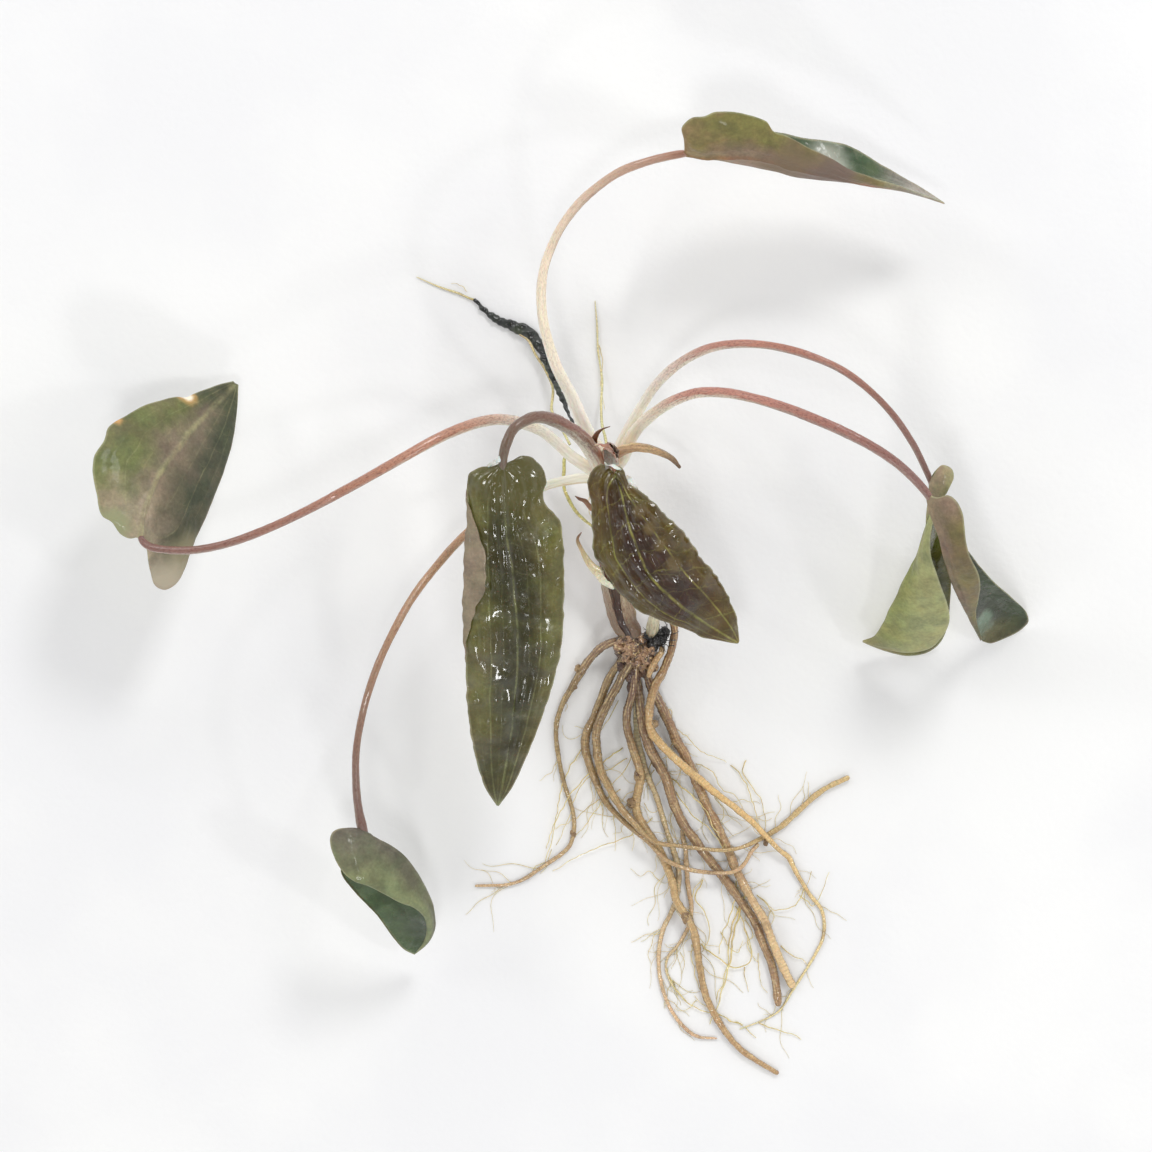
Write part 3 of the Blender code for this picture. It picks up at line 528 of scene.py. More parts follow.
def vein_net(along, out, reach, clouds, broken):
    """The net of fine veins, and how far inside one of its cells a point lies.

    Cross veins run where the fraction of 0.2 * along - 0.17 * |across| + 0.9 * clouds is 0.5, in millimetres, and
    the other veins run along the edges of Voronoi cells. Both are fainter where they are broken.
    """
    tree = along.tree
    across = out * reach
    flat = add(tree, "ShaderNodeCombineXYZ", {0: along * 0.7, 1: across})
    flat = add(tree, "ShaderNodeVectorMath", {0: flat, 1: (clouds - 0.5) * 3.0}, operation="ADD")
    inputs = {"Vector": flat, "Scale": NET_CELLS_PER_MM, "Randomness": 1.0}
    options = {"feature": "DISTANCE_TO_EDGE", "voronoi_dimensions": "2D"}
    cells = add(tree, "ShaderNodeTexVoronoi", inputs, "Distance", **options)
    slant = along.maths("MULTIPLY_ADD", CROSS_VEINS_PER_MM, abs(across) * -0.17) + clouds * 0.9
    cross_veins = remap(abs(slant.maths("FRACT") - 0.5), 0.0, 0.045, 1.0, 0.0) * broken
    return (remap(cells, 0.0, 0.035, 0.5, 0.0) * broken).maths("MAXIMUM", cross_veins), cells


def leaf_tissue_group():
    """Colour, gloss and height of a leaf, from where each point lies in it."""
    inputs = {**dict.fromkeys(LEAF_COLOURS, GREY), **LEAF_MEASURES}
    tree, given, result = new_group("leaf_tissue", inputs, ("Color", "Roughness", "Gloss", "Height"))
    lay = add_node(tree, "ShaderNodeSeparateXYZ", {0: carried(tree, "lay", "Vector")})
    along, out, reach = [Output(socket) for socket in lay.outputs]
    upper = carried(tree, "upper")
    place = place_of(tree)
    clouds = noise(place, 260.0, 4.0, 0.6)

    broken = remap(clouds, 0.35, 0.6, 0.35, 1.0)
    outward = abs(out + (noise(place, 120.0) - 0.5) * 0.12)
    long_veins = vein_line(outward, reach, 0.0, given["Midrib Width"]) * given["Midrib"]
    for vein, (label, width) in zip(LONG_VEINS, LONG_VEIN_WIDTHS.items()):
        long_veins = long_veins.maths("MAXIMUM", vein_line(outward, reach, vein, width) * given[label])
    net, cells = vein_net(along, out, reach, clouds, broken)
    veins = (long_veins * broken).maths("MAXIMUM", net * given["Net"])

    spread = remap(noise(place, 85.0, 5.0, 0.6), 0.3, 0.7, -0.3, 0.3)
    wavering = along + spread * 9.0
    to_tip = remap(wavering, given["Tip From"], given["Tip From"] + 10.0)
    top = blend(remap(outward, 0.15, 0.9) + spread, given["Upper Centre"], given["Upper Edge"])
    top = blend(to_tip, top, given["Tip"])
    top = blend(veins, top, given["Upper Vein"])
    halves = blend(remap(out + spread * 0.3, -0.1, 0.1), given["Under Left"], given["Under Right"])
    low = blend(remap(outward, 0.05, 0.6) + spread, given["Under Centre"], halves)
    low = blend(remap(wavering, 1.5, given["Base Length"], 1.0, 0.0), low, given["Under Base"])
    low = blend(to_tip, low, given["Tip"])
    low = blend(veins, low, given["Under Vein"])
    colour = blend(upper, low, top)
    dried = remap(noise(place, 120.0, 6.0, 0.65), 0.6, 0.72, 0.0, 0.4)
    colour = blend(dried * upper, colour, tint(*DRIED_SPOT))
    # Partly painted highlight: the last 0.45 mm to the margin is blended towards a pale colour.
    colour = blend(remap(carried(tree, "from_margin"), 0.0, 0.45, 0.5, 0.0), colour, tint(*PALE_MARGIN_AND_HIGHLIGHT))
    value = remap(clouds, 0.28, 0.72, 0.76, 1.24) * remap(noise(place, 1600.0, 3.0, 0.6), 0.3, 0.7, 0.9, 1.1)
    colour = shaded(colour, value, remap(noise(place, 170.0), 0.3, 0.7, 0.485, 0.515))

    wet = remap(noise(place, 210.0, 4.0), 0.38, 0.62)
    roughness = blend_numbers(upper, remap(clouds, 0.3, 0.7, 0.42, 0.6), blend_numbers(wet, 0.34, 0.16))
    gloss = blend_numbers(upper, 0.2, blend_numbers(wet, 0.15, 0.85)) * given["Wetness"]
    height = remap(cells, 0.0, 0.35) * 0.7 - net * 0.25 + noise(place, 900.0) * 0.8
    feed(result, {"Color": colour, "Roughness": roughness, "Gloss": gloss, "Height": height})
    return tree


leaf_tissue = leaf_tissue_group()
print("leaf tissue has", len(leaf_tissue.nodes), "nodes")

# %% [markdown]
# One material for each blade
#
# Old leaves are brown and young ones olive, so each blade has its own nine colours, in the order of the group's,
# its own strengths of veins, and whatever else differs from the group's own values. Some also have spots of
# another colour, placed by their distance from a point: the left leaf is scorched where its margin dried out, pale
# with an orange rim. The pale grey spot on the top leaf's upper side and three grey-green spots on the lower right
# leaf are painted reflections of the bright surroundings on wet tissue.

# %% Blade materials
VEIN_STRENGTHS = ("Midrib", "Inner Veins", "Middle Veins", "Outer Veins", "Net")
BLADE_LOOKS = {
    "front_left": (
        [(52, 50, 22), (98, 94, 52), (132, 134, 88),
         (130, 114, 98), (134, 120, 100), (118, 110, 90), (120, 104, 94), (156, 144, 124), (66, 62, 26)],
        (0.55, 0.12, 0.45, 0.1, 0.12), {"Tip From": 52.0},
    ),
    "front_right": (
        [(54, 36, 22), (84, 68, 30), (146, 142, 70),
         (96, 84, 64), (96, 88, 56), (100, 92, 58), (100, 84, 66), (130, 126, 86), (80, 60, 24)],
        (0.8, 0.05, 0.6, 0.08, 0.3), {"Tip From": 30.0},
    ),
    "left": (
        [(70, 80, 50), (62, 76, 40), (104, 112, 70),
         (122, 110, 90), (108, 112, 66), (70, 74, 56), (156, 144, 120), (164, 160, 116), (70, 74, 50)],
        (0.5, 0.1, 0.25, 0.1, 0.08), {"Midrib Width": 1.0, "Base Length": 16.0, "Tip From": 30.0, "Wetness": 0.45},
    ),
    "lower_left": (
        [(54, 70, 44), (72, 92, 52), (116, 130, 100),
         (100, 100, 78), (110, 118, 84), (121, 128, 90), (104, 98, 86), (136, 138, 112), (66, 76, 52)],
        (0.25, 0.05, 0.1, 0.05, 0.05), {"Wetness": 0.6},
    ),
    "top": (
        [(104, 116, 84), (58, 80, 48), (150, 158, 128),
         (142, 122, 100), (120, 112, 64), (128, 112, 96), (146, 122, 88), (150, 98, 68), (160, 153, 142)],
        (0.6, 0.1, 0.15, 0.05, 0.06), {"Midrib Width": 1.1, "Tip From": 40.0, "Wetness": 0.6},
    ),
    "right_upper": (
        [(82, 84, 30), (92, 94, 38), (130, 136, 76),
         (136, 140, 84), (150, 152, 104), (132, 136, 68), (158, 140, 116), (158, 160, 112), (140, 132, 92)],
        (0.3, 0.06, 0.12, 0.06, 0.06), {"Base Length": 9.0, "Tip From": 36.0, "Wetness": 0.5},
    ),
    "right_lower": (
        [(36, 44, 24), (48, 60, 30), (72, 84, 54),
         (120, 104, 84), (116, 104, 66), (104, 98, 52), (134, 116, 96), (136, 122, 96), (92, 90, 58)],
        (0.3, 0.06, 0.12, 0.06, 0.08), {"Tip From": 40.0, "Wetness": 0.12},
    ),
}
PATCHES = {
    "left": [
        ((-74.3, 40.2, 18.6), 3.2, (196, 158, 96)), ((-74.3, 40.2, 18.6), 1.9, (252, 242, 220)),
        ((-86.9, 34.9, 29.8), 1.8, (206, 160, 100)), ((-75, 9, 24.5), 7, (132, 126, 98)),
        ((-86.8, 14.6, 37), 4.5, (150, 152, 116)),
        ((-78.2, 1.6, 26), 9.5, (178, 168, 146)),
    ],
    "top": [
        # The first spot here is a painted reflection: pale grey where the wet upper side mirrors the bright
        # surroundings.
        ((51.5, 87, 24), 7, (184, 186, 172), 1), ((60, 84.6, 19), 2.4, (74, 92, 56), 1),
        ((42, 85.5, 32), 8, (124, 106, 84), 0), ((51, 83.5, 29), 9, (120, 102, 90), 0),
        ((31, 86.4, 32), 2.2, (100, 80, 60), 0), ((35.5, 86.2, 32), 2.2, (102, 82, 64), 0),
        ((40.5, 85.8, 31), 2, (104, 84, 68), 0),
    ],
    "right_upper": [((66, -10, 6), 3.5, (176, 146, 104))],
    "right_lower": [
        # The first three spots are painted reflections: grey-green where the wet upper side mirrors the bright
        # surroundings.
        ((81.6, 0.5, 9), 3, (104, 120, 102), 1), ((82.2, -3.4, 8), 3.6, (116, 134, 114), 1),
        ((84.6, -7, 7), 4.4, (112, 128, 108), 1), ((90, -3, 8), 4.5, (48, 64, 28), 1),
    ],
    "front_left": [((-10, 23, 44.5), 9, (88, 84, 48), 1)],
    "front_right": [
        ((14.2, 17.2, 41.5), 1.8, (98, 82, 52), 1), ((16, 14.2, 41.2), 1.9, (102, 86, 54), 1),
        ((18, 11, 40.6), 2, (104, 88, 54), 1), ((20.6, 7.4, 39.6), 2.2, (96, 80, 48), 1),
    ],
}


def patched(colour, patches):
    """The colour with soft ragged spots: each has a middle, a radius in millimetres and a colour of its own.

    A spot with a fourth entry stays on one skin: 1 for the upper one, 0 for the lower one.
    """
    place = place_of(colour.tree)
    ragged = (noise(place, 500.0) - 0.5) * 0.0016
    upper = carried(colour.tree, "upper")
    lower = add(colour.tree, "ShaderNodeMath", {0: 1.0, 1: upper}, operation="SUBTRACT")
    for centre, radius, spot, *skin in patches:
        point = tuple(value * MM for value in centre)
        gap = add(place.tree, "ShaderNodeVectorMath", {0: place, 1: point}, "Value", operation="DISTANCE")
        inside = remap(gap + ragged, 0.35 * radius * MM, radius * MM, 1.0, 0.0)
        if skin:
            inside = inside * (upper if skin[0] else lower)
        colour = blend(inside, colour, tint(*spot))
    return colour


def blade_material(name, colours, strengths, others):
    """Wet leaf tissue in one blade's colours and strengths of veins."""
    material = new_material(name + "_blade")
    look = dict(zip(LEAF_COLOURS, [tint(*colour) for colour in colours]))
    tissue = use_group(material.node_tree, leaf_tissue, {**look, **dict(zip(VEIN_STRENGTHS, strengths)), **others})
    colour = patched(tissue["Color"], PATCHES[name]) if name in PATCHES else tissue["Color"]
    return finish(material, colour, tissue["Roughness"], tissue["Height"], strength=0.5, depth=0.0002, others={
        "Coat Weight": tissue["Gloss"], "Coat Roughness": 0.06, "Specular IOR Level": 0.3,
        "Subsurface Weight": 0.06, "Subsurface Scale": 0.001,
    })


blade_materials = {name: blade_material(name, *look) for name, look in BLADE_LOOKS.items()}
print("blade materials:", len(blade_materials))

# %% [markdown]
# The blades
#
# A blade is spanned between three curves: its midrib and its two margins. A row across it is two chords, from the
# midrib to each margin at the same share of their lengths, and each chord bellies a little. One could sculpt a
# blade, but then its folds would be guesses, whereas three curves put each margin exactly where it is seen. The
# margin is then rippled, the veins are pressed into the upper side and stand out as ribs below, and the sheet
# gets its real thickness of a third of a millimetre, thinner at the margin.

# %% Where the blades run
BLADES = {
    "front_left": {
        "midrib": [
            (-11.9, 26.1, 44.4), (-11.5, 19.4, 44), (-11.1, 11.8, 43), (-9.8, 2.3, 41), (-9.3, -7.3, 38),
            (-9.8, -18.9, 33), (-11.2, -29.8, 27.5), (-13.2, -39.9, 22),
        ],
        "left": [
            (-12.5, 26.3, 44.2), (-14, 25.8, 43.5), (-16.3, 25.6, 43), (-18.2, 24.4, 42.6), (-18.8, 22.7, 42.4),
            (-18.4, 18.5, 42.2), (-18.8, 10.9, 41.8), (-19.2, 0.4, 40.2), (-19.1, -10.2, 37.2),
            (-18.8, -20.9, 32.6), (-17.4, -30.1, 28), (-15.5, -36.3, 24.5), (-13.4, -39.8, 22),
        ],
        "right": [
            (-11.3, 26.4, 44.3), (-10, 27, 44), (-8.5, 27.8, 43.6), (-6, 27.3, 43), (-4.3, 25.3, 42.6),
            (-3.6, 23.2, 42.5), (-4.3, 20.6, 43), (-3.3, 17.9, 42.6), (-1.2, 15.8, 42), (-0.5, 11.8, 41.6),
            (-0.3, 0.4, 40), (-0.9, -9.2, 37), (-3.4, -18.9, 33), (-6.9, -28.4, 28.5), (-10.5, -36.3, 24),
            (-13, -39.8, 22),
        ],
        "belly": 0.06,
        "bulge": 0.2,
        "ripple": 0.6,
        "fold": [(0.12, 0), (0.17, 1.6), (0.25, 5.2), (0.36, 5.4), (0.41, 3.4), (0.48, 1.9), (0.56, 0.1)],
    },
    "front_right": {
        "midrib": [
            (9.3, 24.6, 41.2), (10.6, 20.8, 42), (11.7, 16, 42), (13.3, 10.9, 41.5), (15.6, 5.9, 40.5),
            (18.4, 2.5, 39.5), (21.6, -0.4, 37.5), (25.7, -3.3, 34.5), (30, -5.9, 31.5), (33.4, -8, 29),
        ],
        "left": [
            (8.9, 24.8, 41), (7.7, 26.1, 40.6), (6.6, 26.3, 40.2), (5.4, 25.4, 40), (4.5, 23.7, 39.8),
            (4.3, 21.6, 40), (4.9, 19.1, 40.2), (5.2, 14.3, 39.8), (5.4, 9.5, 39), (7, 6.7, 38.6),
            (8.9, 3.8, 38), (11.4, 0.5, 37.2), (15.8, -2.5, 36), (21.4, -4.6, 34), (26.7, -6.8, 31.5),
            (30.2, -7.6, 30), (33.1, -8.1, 29),
        ],
        "right": [
            (9.5, 24.8, 41.2), (10.2, 25.9, 41), (11.2, 25, 41), (11.7, 23.5, 41), (12.9, 22, 41.2),
            (14.8, 20.8, 41), (17.3, 18.5, 40.5), (20, 15.8, 40), (22.9, 13, 39), (26.2, 8.2, 37),
            (29.3, 4.6, 35), (31.9, -0.3, 32.5), (33.1, -3.5, 30.8), (33.6, -7.6, 29.2),
        ],
        "belly": 0.06,
        "bulge": 0.22,
        "ripple": 0.65,
    },
    "left": {
        "midrib": [
            (-81.7, 12.6, 36), (-81.2, 16.7, 35), (-79.6, 22.5, 32), (-76.7, 28, 27.5), (-72.5, 34.5, 20),
            (-68.7, 39.2, 13.5), (-65.6, 43, 8),
        ],
        "left": [
            (-82.2, 12.5, 36), (-83.6, 12.2, 36.2), (-85.3, 13, 36.5), (-87, 15.3, 37), (-88.9, 16.6, 37),
            (-89.9, 20.5, 36.5), (-90.8, 25.3, 35.5), (-90.5, 28.2, 34.5), (-88.9, 31, 33), (-88.1, 33.7, 31.5),
            (-85.2, 35.9, 28.5), (-82.1, 37.9, 26), (-78.7, 39.2, 23), (-76.2, 39.9, 20.5), (-74.4, 39.9, 18.5),
            (-72.6, 40.9, 16), (-70.8, 41.7, 14), (-68.3, 42.8, 11), (-65.9, 43.5, 8.6),
        ],
        "right": [
            (-81.5, 12.2, 35.6), (-80.7, 10, 33), (-80.5, 6.1, 29), (-79.7, 3.2, 27), (-78.2, 2.3, 26),
            (-76, 3.2, 25), (-74.3, 5.9, 24.5), (-72.6, 11, 23.5), (-70.8, 15.1, 22), (-68.8, 20.4, 20),
            (-66.7, 26.7, 17), (-65.5, 32.1, 14), (-65, 37.5, 11), (-64.9, 42.8, 8.2),
        ],
        "belly": -0.08,
        "ripple": 0.1,
    },
    "lower_left": {
        "midrib": [
            (-38.7, -45.3, 31), (-35.9, -46.7, 30), (-32.7, -48.7, 28), (-29.9, -52, 25.5), (-27.7, -56.1, 22),
            (-26.2, -60.1, 18), (-26, -63.8, 13.5), (-27.3, -67.3, 9), (-29.8, -70, 5),
        ],
        "left": [
            (-39, -45.8, 30.4), (-40.8, -47.4, 28), (-43.1, -49.6, 26), (-43.7, -52.7, 24), (-41, -57, 20.5),
            (-37.1, -61.6, 16), (-34.4, -66, 11), (-32.1, -69.1, 7), (-30.1, -70.3, 5),
        ],
        "right": [
            (-39.2, -44.9, 31.6), (-41, -43.9, 33), (-43.1, -43.6, 33.6), (-44.8, -44.3, 33.5),
            (-45.4, -45.9, 33), (-44.7, -49.1, 32), (-43, -52.2, 31), (-40.9, -54, 30.5), (-38.2, -55, 29.5),
            (-34.8, -56.9, 27.5), (-32.4, -58.4, 25.5), (-29.8, -59.6, 22.5), (-27.8, -61.9, 18),
            (-27.4, -64.8, 13), (-28.3, -67.8, 8.3), (-29.9, -69.9, 5.3),
        ],
        "belly": -0.12,
        "ripple": 0.05,
    },
    "top": {
        "midrib": [
            (23, 86.4, 34), (27.8, 85.6, 33.6), (32.6, 84.8, 32.8), (39.5, 83.4, 31), (45.4, 82.2, 29),
            (53.2, 81.6, 26.5), (60.2, 81.2, 23.5), (66.3, 80.4, 20), (71.1, 79.3, 17), (74.5, 78.2, 15),
        ],
        "left": [
            (22.9, 86.8, 35), (22.7, 88.4, 38.5), (22.3, 90.6, 41.5), (24.1, 92.2, 42.8), (26.4, 92.4, 43),
            (28.5, 93.2, 43.3), (31.9, 93.3, 43), (34.8, 92.8, 42.2), (38.3, 91.6, 41), (39.7, 90, 39.6),
            (42.2, 89.2, 38.3), (47.5, 86.8, 35.4), (50.9, 85.4, 33.4), (54.9, 83.5, 30.5), (59, 82.3, 27.5),
            (65.2, 80.9, 22.5), (70.4, 79.5, 18), (74.3, 78.4, 15.2),
        ],
        "right": [
            (23.2, 86.7, 33), (26, 88.3, 28), (29.2, 89.8, 24.5), (34.4, 91.1, 22.5), (40.3, 91.7, 21.5),
            (44.8, 90.9, 20.7), (48.3, 90.4, 20), (54.5, 89.5, 19), (58.6, 87.6, 18.2), (63, 85, 17.2),
            (65.8, 83.5, 16.5), (70, 81.2, 15.6), (74.3, 78.5, 14.8),
        ],
        "belly": -0.14,
        "ripple": 0.12,
        "midrib_shift": 0.34,
    },
    "right_upper": {
        "midrib": [
            (70.6, 21.6, 36.8), (70.2, 19, 36), (69.9, 15.7, 35), (69.8, 12.5, 33.5), (68.4, 9, 31),
            (66.4, 4.8, 27.5), (64.4, 0.1, 22), (62.6, -4.5, 14.5), (61.2, -7.1, 9), (59, -8, 6),
        ],
        "left": [
            (70.7, 21.9, 37.2), (71.1, 22.8, 38), (70.6, 24.5, 39), (72, 26.1, 39.5), (73.8, 25.4, 39.5),
            (74.2, 23.7, 39.2), (73.2, 21.8, 38.9), (71.3, 18.5, 39), (70, 13.8, 38.6), (69.9, 9.4, 37.5),
            (71.2, 5.7, 34.5), (72.7, 2.4, 30.5), (74.3, -1.1, 25), (74.9, -4, 20.5), (73.8, -7.2, 15),
            (71.9, -9.3, 11.5), (67.8, -10.2, 8.5), (63.5, -9.5, 7), (59.6, -8.2, 6),
        ],
        "right": [
            (70.6, 21.3, 36), (72.1, 19.6, 33), (74, 15.8, 29), (75.3, 10, 23), (75.7, 3.8, 16),
            (75.9, -0.6, 10.5), (75.8, -5.4, 5), (74.6, -8.4, 2), (72.3, -10.3, 0.7), (68.4, -11, 0.5),
            (63.9, -10.1, 1.6), (60.6, -8.9, 3.8), (59, -8.2, 5.5),
        ],
        "belly": -0.12,
        "ripple": 0.05,
    },
    "right_lower": {
        "midrib": [
            (69.3, 19.8, 44.2), (70.1, 16.7, 43.8), (71.4, 13.3, 42.3), (72.9, 8.8, 38), (74.6, 4.6, 31.5),
            (76.8, 0.7, 24), (79.3, -2.9, 15), (81.3, -5.8, 8), (82.7, -7.8, 3),
        ],
        "left": [
            (69.5, 20.1, 44.8), (70.7, 19.8, 46), (72.5, 20.2, 47.5), (73.9, 19.2, 48), (75.1, 16.9, 48),
            (75.6, 14.2, 47), (76.1, 11.4, 44.5), (77.4, 8.2, 40.5), (79.2, 5.5, 35.5), (80.1, 3, 30),
            (80.3, 0.5, 24), (80.4, -2.1, 17.5), (81.3, -4.7, 10.5), (82.8, -7.4, 3.8),
        ],
        "right": [
            (69.7, 19.4, 43.2), (72.6, 15.7, 39), (75.5, 11.9, 34), (77.8, 9.8, 30), (80.3, 7.1, 25.5),
            (83.8, 3.8, 19), (88.1, 0.6, 11.5), (91.8, -2.6, 4), (92.2, -4.4, 1.6), (90.4, -6.2, 0.5),
            (87.4, -7.6, 0.4), (84.9, -8.5, 0.6), (83.2, -8.1, 2),
        ],
        "belly": -0.12,
        "ripple": 0.08,
    },
}
print("blades:", ", ".join(BLADES))

# %% [markdown]
# The sheet of a blade
#
# The three curves give a middle surface. Every point of it is known by its row, which is its share along the
# midrib, and by its share out from the midrib, so ripples, furrows, ribs and the thickness are all short sums of
# those two. The upper skin is then the middle surface moved one way along its normal, and the lower skin the other
# way. A modifier could thicken a flat sheet too, but it would give both skins the same relief. Where a margin is
# folded over, more columns carry the sheet round a small radius and back.

# %% Shape the blades
BLADE_ROWS = 200
HALF_COLUMNS = 30
FOLD_COLUMNS = 14
FOLD_RADIUS = 0.35
BLADE_CROWDING = 1.35
SHEET = 0.34
MARGIN_SHEET = 0.1
THIN_MARGIN = 1.2
VEIN_DEPARTURE = 0.07
MIDRIB_RELIEF = {"furrow": 0.16, "rib": 0.55}
VEIN_RELIEF = {"furrow": 0.09, "rib": 0.06}
QUILT = ((5.5, 0.15), (2.8, 0.06), (1.1, 0.012))
DEFAULT_BULGE = 0.07
FULL_QUILT_BULGE = 0.2


def bell(distance, width):
    """exp(-(distance / width) squared)."""
    return np.exp(-((distance / width) ** 2))


def ripple(share, waves, seed):
    """An uneven wave along a margin: four sines of nearby counts, with their starts drawn from the seed."""
    random = np.random.default_rng(seed)
    counts = waves * np.array([0.6, 1.0, 1.45, 2.1])
    starts = random.uniform(0, 2 * np.pi, 4)
    weights = np.array([0.5, 1.0, 0.5, 0.3])
    return (weights * np.sin(2 * np.pi * share * counts + starts)).sum(axis=1, keepdims=True) / weights.sum()


def blade_half(blade, side, seed):
    """One half of the blade's middle surface, its share out from the midrib, and the half's width.

    A point is midrib + out * chord, plus 4 * belly * out * (1 - out) of the chord's length towards the upper side,
    plus the margin's ripple times out to the fourth power.
    """
    sign = -1 if side == "left" else 1
    midrib = smooth_route(blade["midrib"], BLADE_ROWS, BLADE_CROWDING)
    chord = smooth_route(blade[side], BLADE_ROWS, BLADE_CROWDING) - midrib
    reach = np.linalg.norm(chord, axis=1)[:, None]
    upward = unit(sign * np.cross(np.gradient(midrib, axis=0), chord))
    share = (np.linspace(0, 1, BLADE_ROWS) ** BLADE_CROWDING)[:, None]
    out = np.linspace(0, 1, HALF_COLUMNS + 1)[None, :] ** 1.15
    fade = np.clip(reach / 4, 0, 1) * np.sin(np.pi * np.clip(share, 0.02, 0.98)) ** 0.5
    lift = blade["belly"] * reach * 4 * out * (1 - out)
    lift = lift + blade["ripple"] * fade * ripple(share, 8, seed) * out**4
    nibble = 1 + 0.03 * blade["ripple"] * ripple(share, 19, seed + 7) * out**6
    points = midrib[:, None] + chord[:, None] * (out * nibble)[..., None] + upward[:, None] * lift[..., None]
    if side == "left":
        points, out, reach = fold_over(blade, points, upward, out, reach, share)
    return points, sign * out + 0 * reach, reach + 0 * out, share


def fold_over(blade, points, upward, out, reach, share):
    """The left half with its margin rolled up and back over the upper side.

    With a the length past the margin, the sheet turns through a / radius while a < pi * radius, so outwards it
    stands at radius * sin(a / radius) and upwards at radius * (1 - cos(a / radius)), and then runs straight back.
    """
    places, lengths = zip(*blade.get("fold", [(0, 0.01), (1, 0.01)]))
    longest = np.interp(share, places, lengths) + 0.01
    radius = np.minimum(FOLD_RADIUS, longest / np.pi)
    past = longest * np.linspace(0, 1, FOLD_COLUMNS + 1)[None, 1:]
    turning = np.clip(past / radius, 0, np.pi)
    straight = np.maximum(past - np.pi * radius, 0)
    outward = unit(points[:, -1] - points[:, -2])[:, None]
    sag = 0.25 * straight * (1 - straight / (longest + 0.01))
    x = (radius * np.sin(turning) - straight)[..., None]
    z = (radius * (1 - np.cos(turning)) + sag)[..., None]
    rolled = points[:, -1:] + outward * x + upward[:, None] * z
    out = np.concatenate([out + 0 * reach, 1 - 0.9 * past / np.maximum(reach, 1)], axis=1)
    return np.concatenate([points, rolled], axis=1), out, reach


def shifted_out(out, shift):
    """Shares counted from a midrib at -shift: (out + shift) / (1 - shift) left of it, / (1 + shift) right."""
    moved = out + shift
    return np.where(moved < 0, moved / (1 - shift), moved / (1 + shift))


def blade_relief(skin, out, reach, share, seed, bulge):
    """How far the upper and lower skins stand from the middle surface.

    Above, the veins are shallow furrows between quilted swellings. Below, they are ribs, and the midrib is as
    thick as a thin stalk near the base. Both are sums of bells exp(-(distance / width) squared). Between two veins
    the whole sheet arches up by bulge * |sin(pi * q)|, where q counts the veins from the midrib outwards.
    """
    departure = 1 - np.exp(-share / VEIN_DEPARTURE)
    strength = (1 - share) ** 0.7
    inside = np.clip((1 - np.abs(out)) * reach / 2, 0, 1) * np.clip(reach / 5, 0, 1)
    distance = np.abs(out) * reach
    upper = -MIDRIB_RELIEF["furrow"] * bell(distance, 0.5) * strength
    lower = MIDRIB_RELIEF["rib"] * bell(distance, 0.55) * strength
    for vein in LONG_VEINS:
        distance = np.abs(np.abs(out) - vein * departure) * reach
        line = bell(distance, 0.4) * strength * np.clip(reach / 5, 0, 1)
        upper = upper - VEIN_RELIEF["furrow"] * line
        lower = lower + VEIN_RELIEF["rib"] * line
    counted = np.interp(np.abs(out), (0, *LONG_VEINS, 1), range(len(LONG_VEINS) + 2))
    arch = bulge * np.abs(np.sin(np.pi * counted)) * (0.7 + 0.6 * rough(skin, 8, seed + 3))
    quilt = sum(height * rough(skin, size, seed + step) for step, (size, height) in enumerate(QUILT))
    quilt = quilt * min(1, bulge / FULL_QUILT_BULGE) + arch
    thinning = np.clip((1 - np.abs(out)) * reach / THIN_MARGIN, 0, 1) ** 0.5
    sheet = MARGIN_SHEET + (SHEET - MARGIN_SHEET) * thinning
    return upper + quilt * inside + sheet / 2, lower - quilt * inside + sheet / 2


def shape_blade(name, blade, seed):
    """A blade as one closed sheet: its upper skin from left to right, then its lower skin back."""
    left, right = blade_half(blade, "left", seed), blade_half(blade, "right", seed + 1)
    middle, out, reach = [np.concatenate([a[:, :0:-1], b], axis=1) for a, b in zip(left[:3], right[:3])]
    share = left[3]
    shift = blade.get("midrib_shift", 0) * np.sin(np.pi * np.clip(1.15 * share, 0, 1)) ** 0.7
    out = shifted_out(out, shift)
    normal = unit(np.cross(np.gradient(middle, axis=1), np.gradient(middle, axis=0)))
    halfway = middle.shape[1] - HALF_COLUMNS - 1
    ahead = np.gradient(middle[:, halfway], axis=0)
    upside = unit(np.cross(ahead, middle[:, -1] - middle[:, FOLD_COLUMNS]))
    normal = normal * np.sign((normal[:, halfway + 3] * upside).sum())
    upper, lower = blade_relief(middle, out, reach, share, seed, blade.get("bulge", DEFAULT_BULGE))
    departure = 1 - np.exp(-share / VEIN_DEPARTURE)
    length = path_lengths(smooth_route(blade["midrib"], BLADE_ROWS, BLADE_CROWDING))[:, None]
    lay = np.stack([length + 0 * out, out / departure.clip(0.05), reach * departure], axis=-1)
    return closed_piece(name, folded_back(middle + normal * upper[..., None], middle - normal * lower[..., None]), {
        "lay": folded_back(lay), "upper": folded_back(np.ones_like(out), np.zeros_like(out)),
        "from_margin": folded_back((1 - np.abs(out)) * reach),
    })


for number, (name, blade) in enumerate(BLADES.items()):
    piece = shape_blade(name + "_blade", blade, 901 + 11 * number)
    dress(piece, blade_materials[name], "leaf_blade", name + "_leaf_blade")
    print(name, "blade:", len(piece.data.polygons), "faces")

# %% [markdown]
# Tubes
#
# Stalks and roots are rings carried along a route. The ring's radius is the route's, times a swelling that gives
# each kind its own surface: fine ribs along a stalk, wrinkles and lumps on a root. Each point remembers how far
# along and how far round it lies, so that streaks can run along a stalk and bands can run round a root.

# %% Tubes along routes


def rows_for(points, step):
    """How many rows stand about one step apart along the points."""
    return int(np.ceil(path_lengths(np.array(points, float))[-1] / step)) + 1


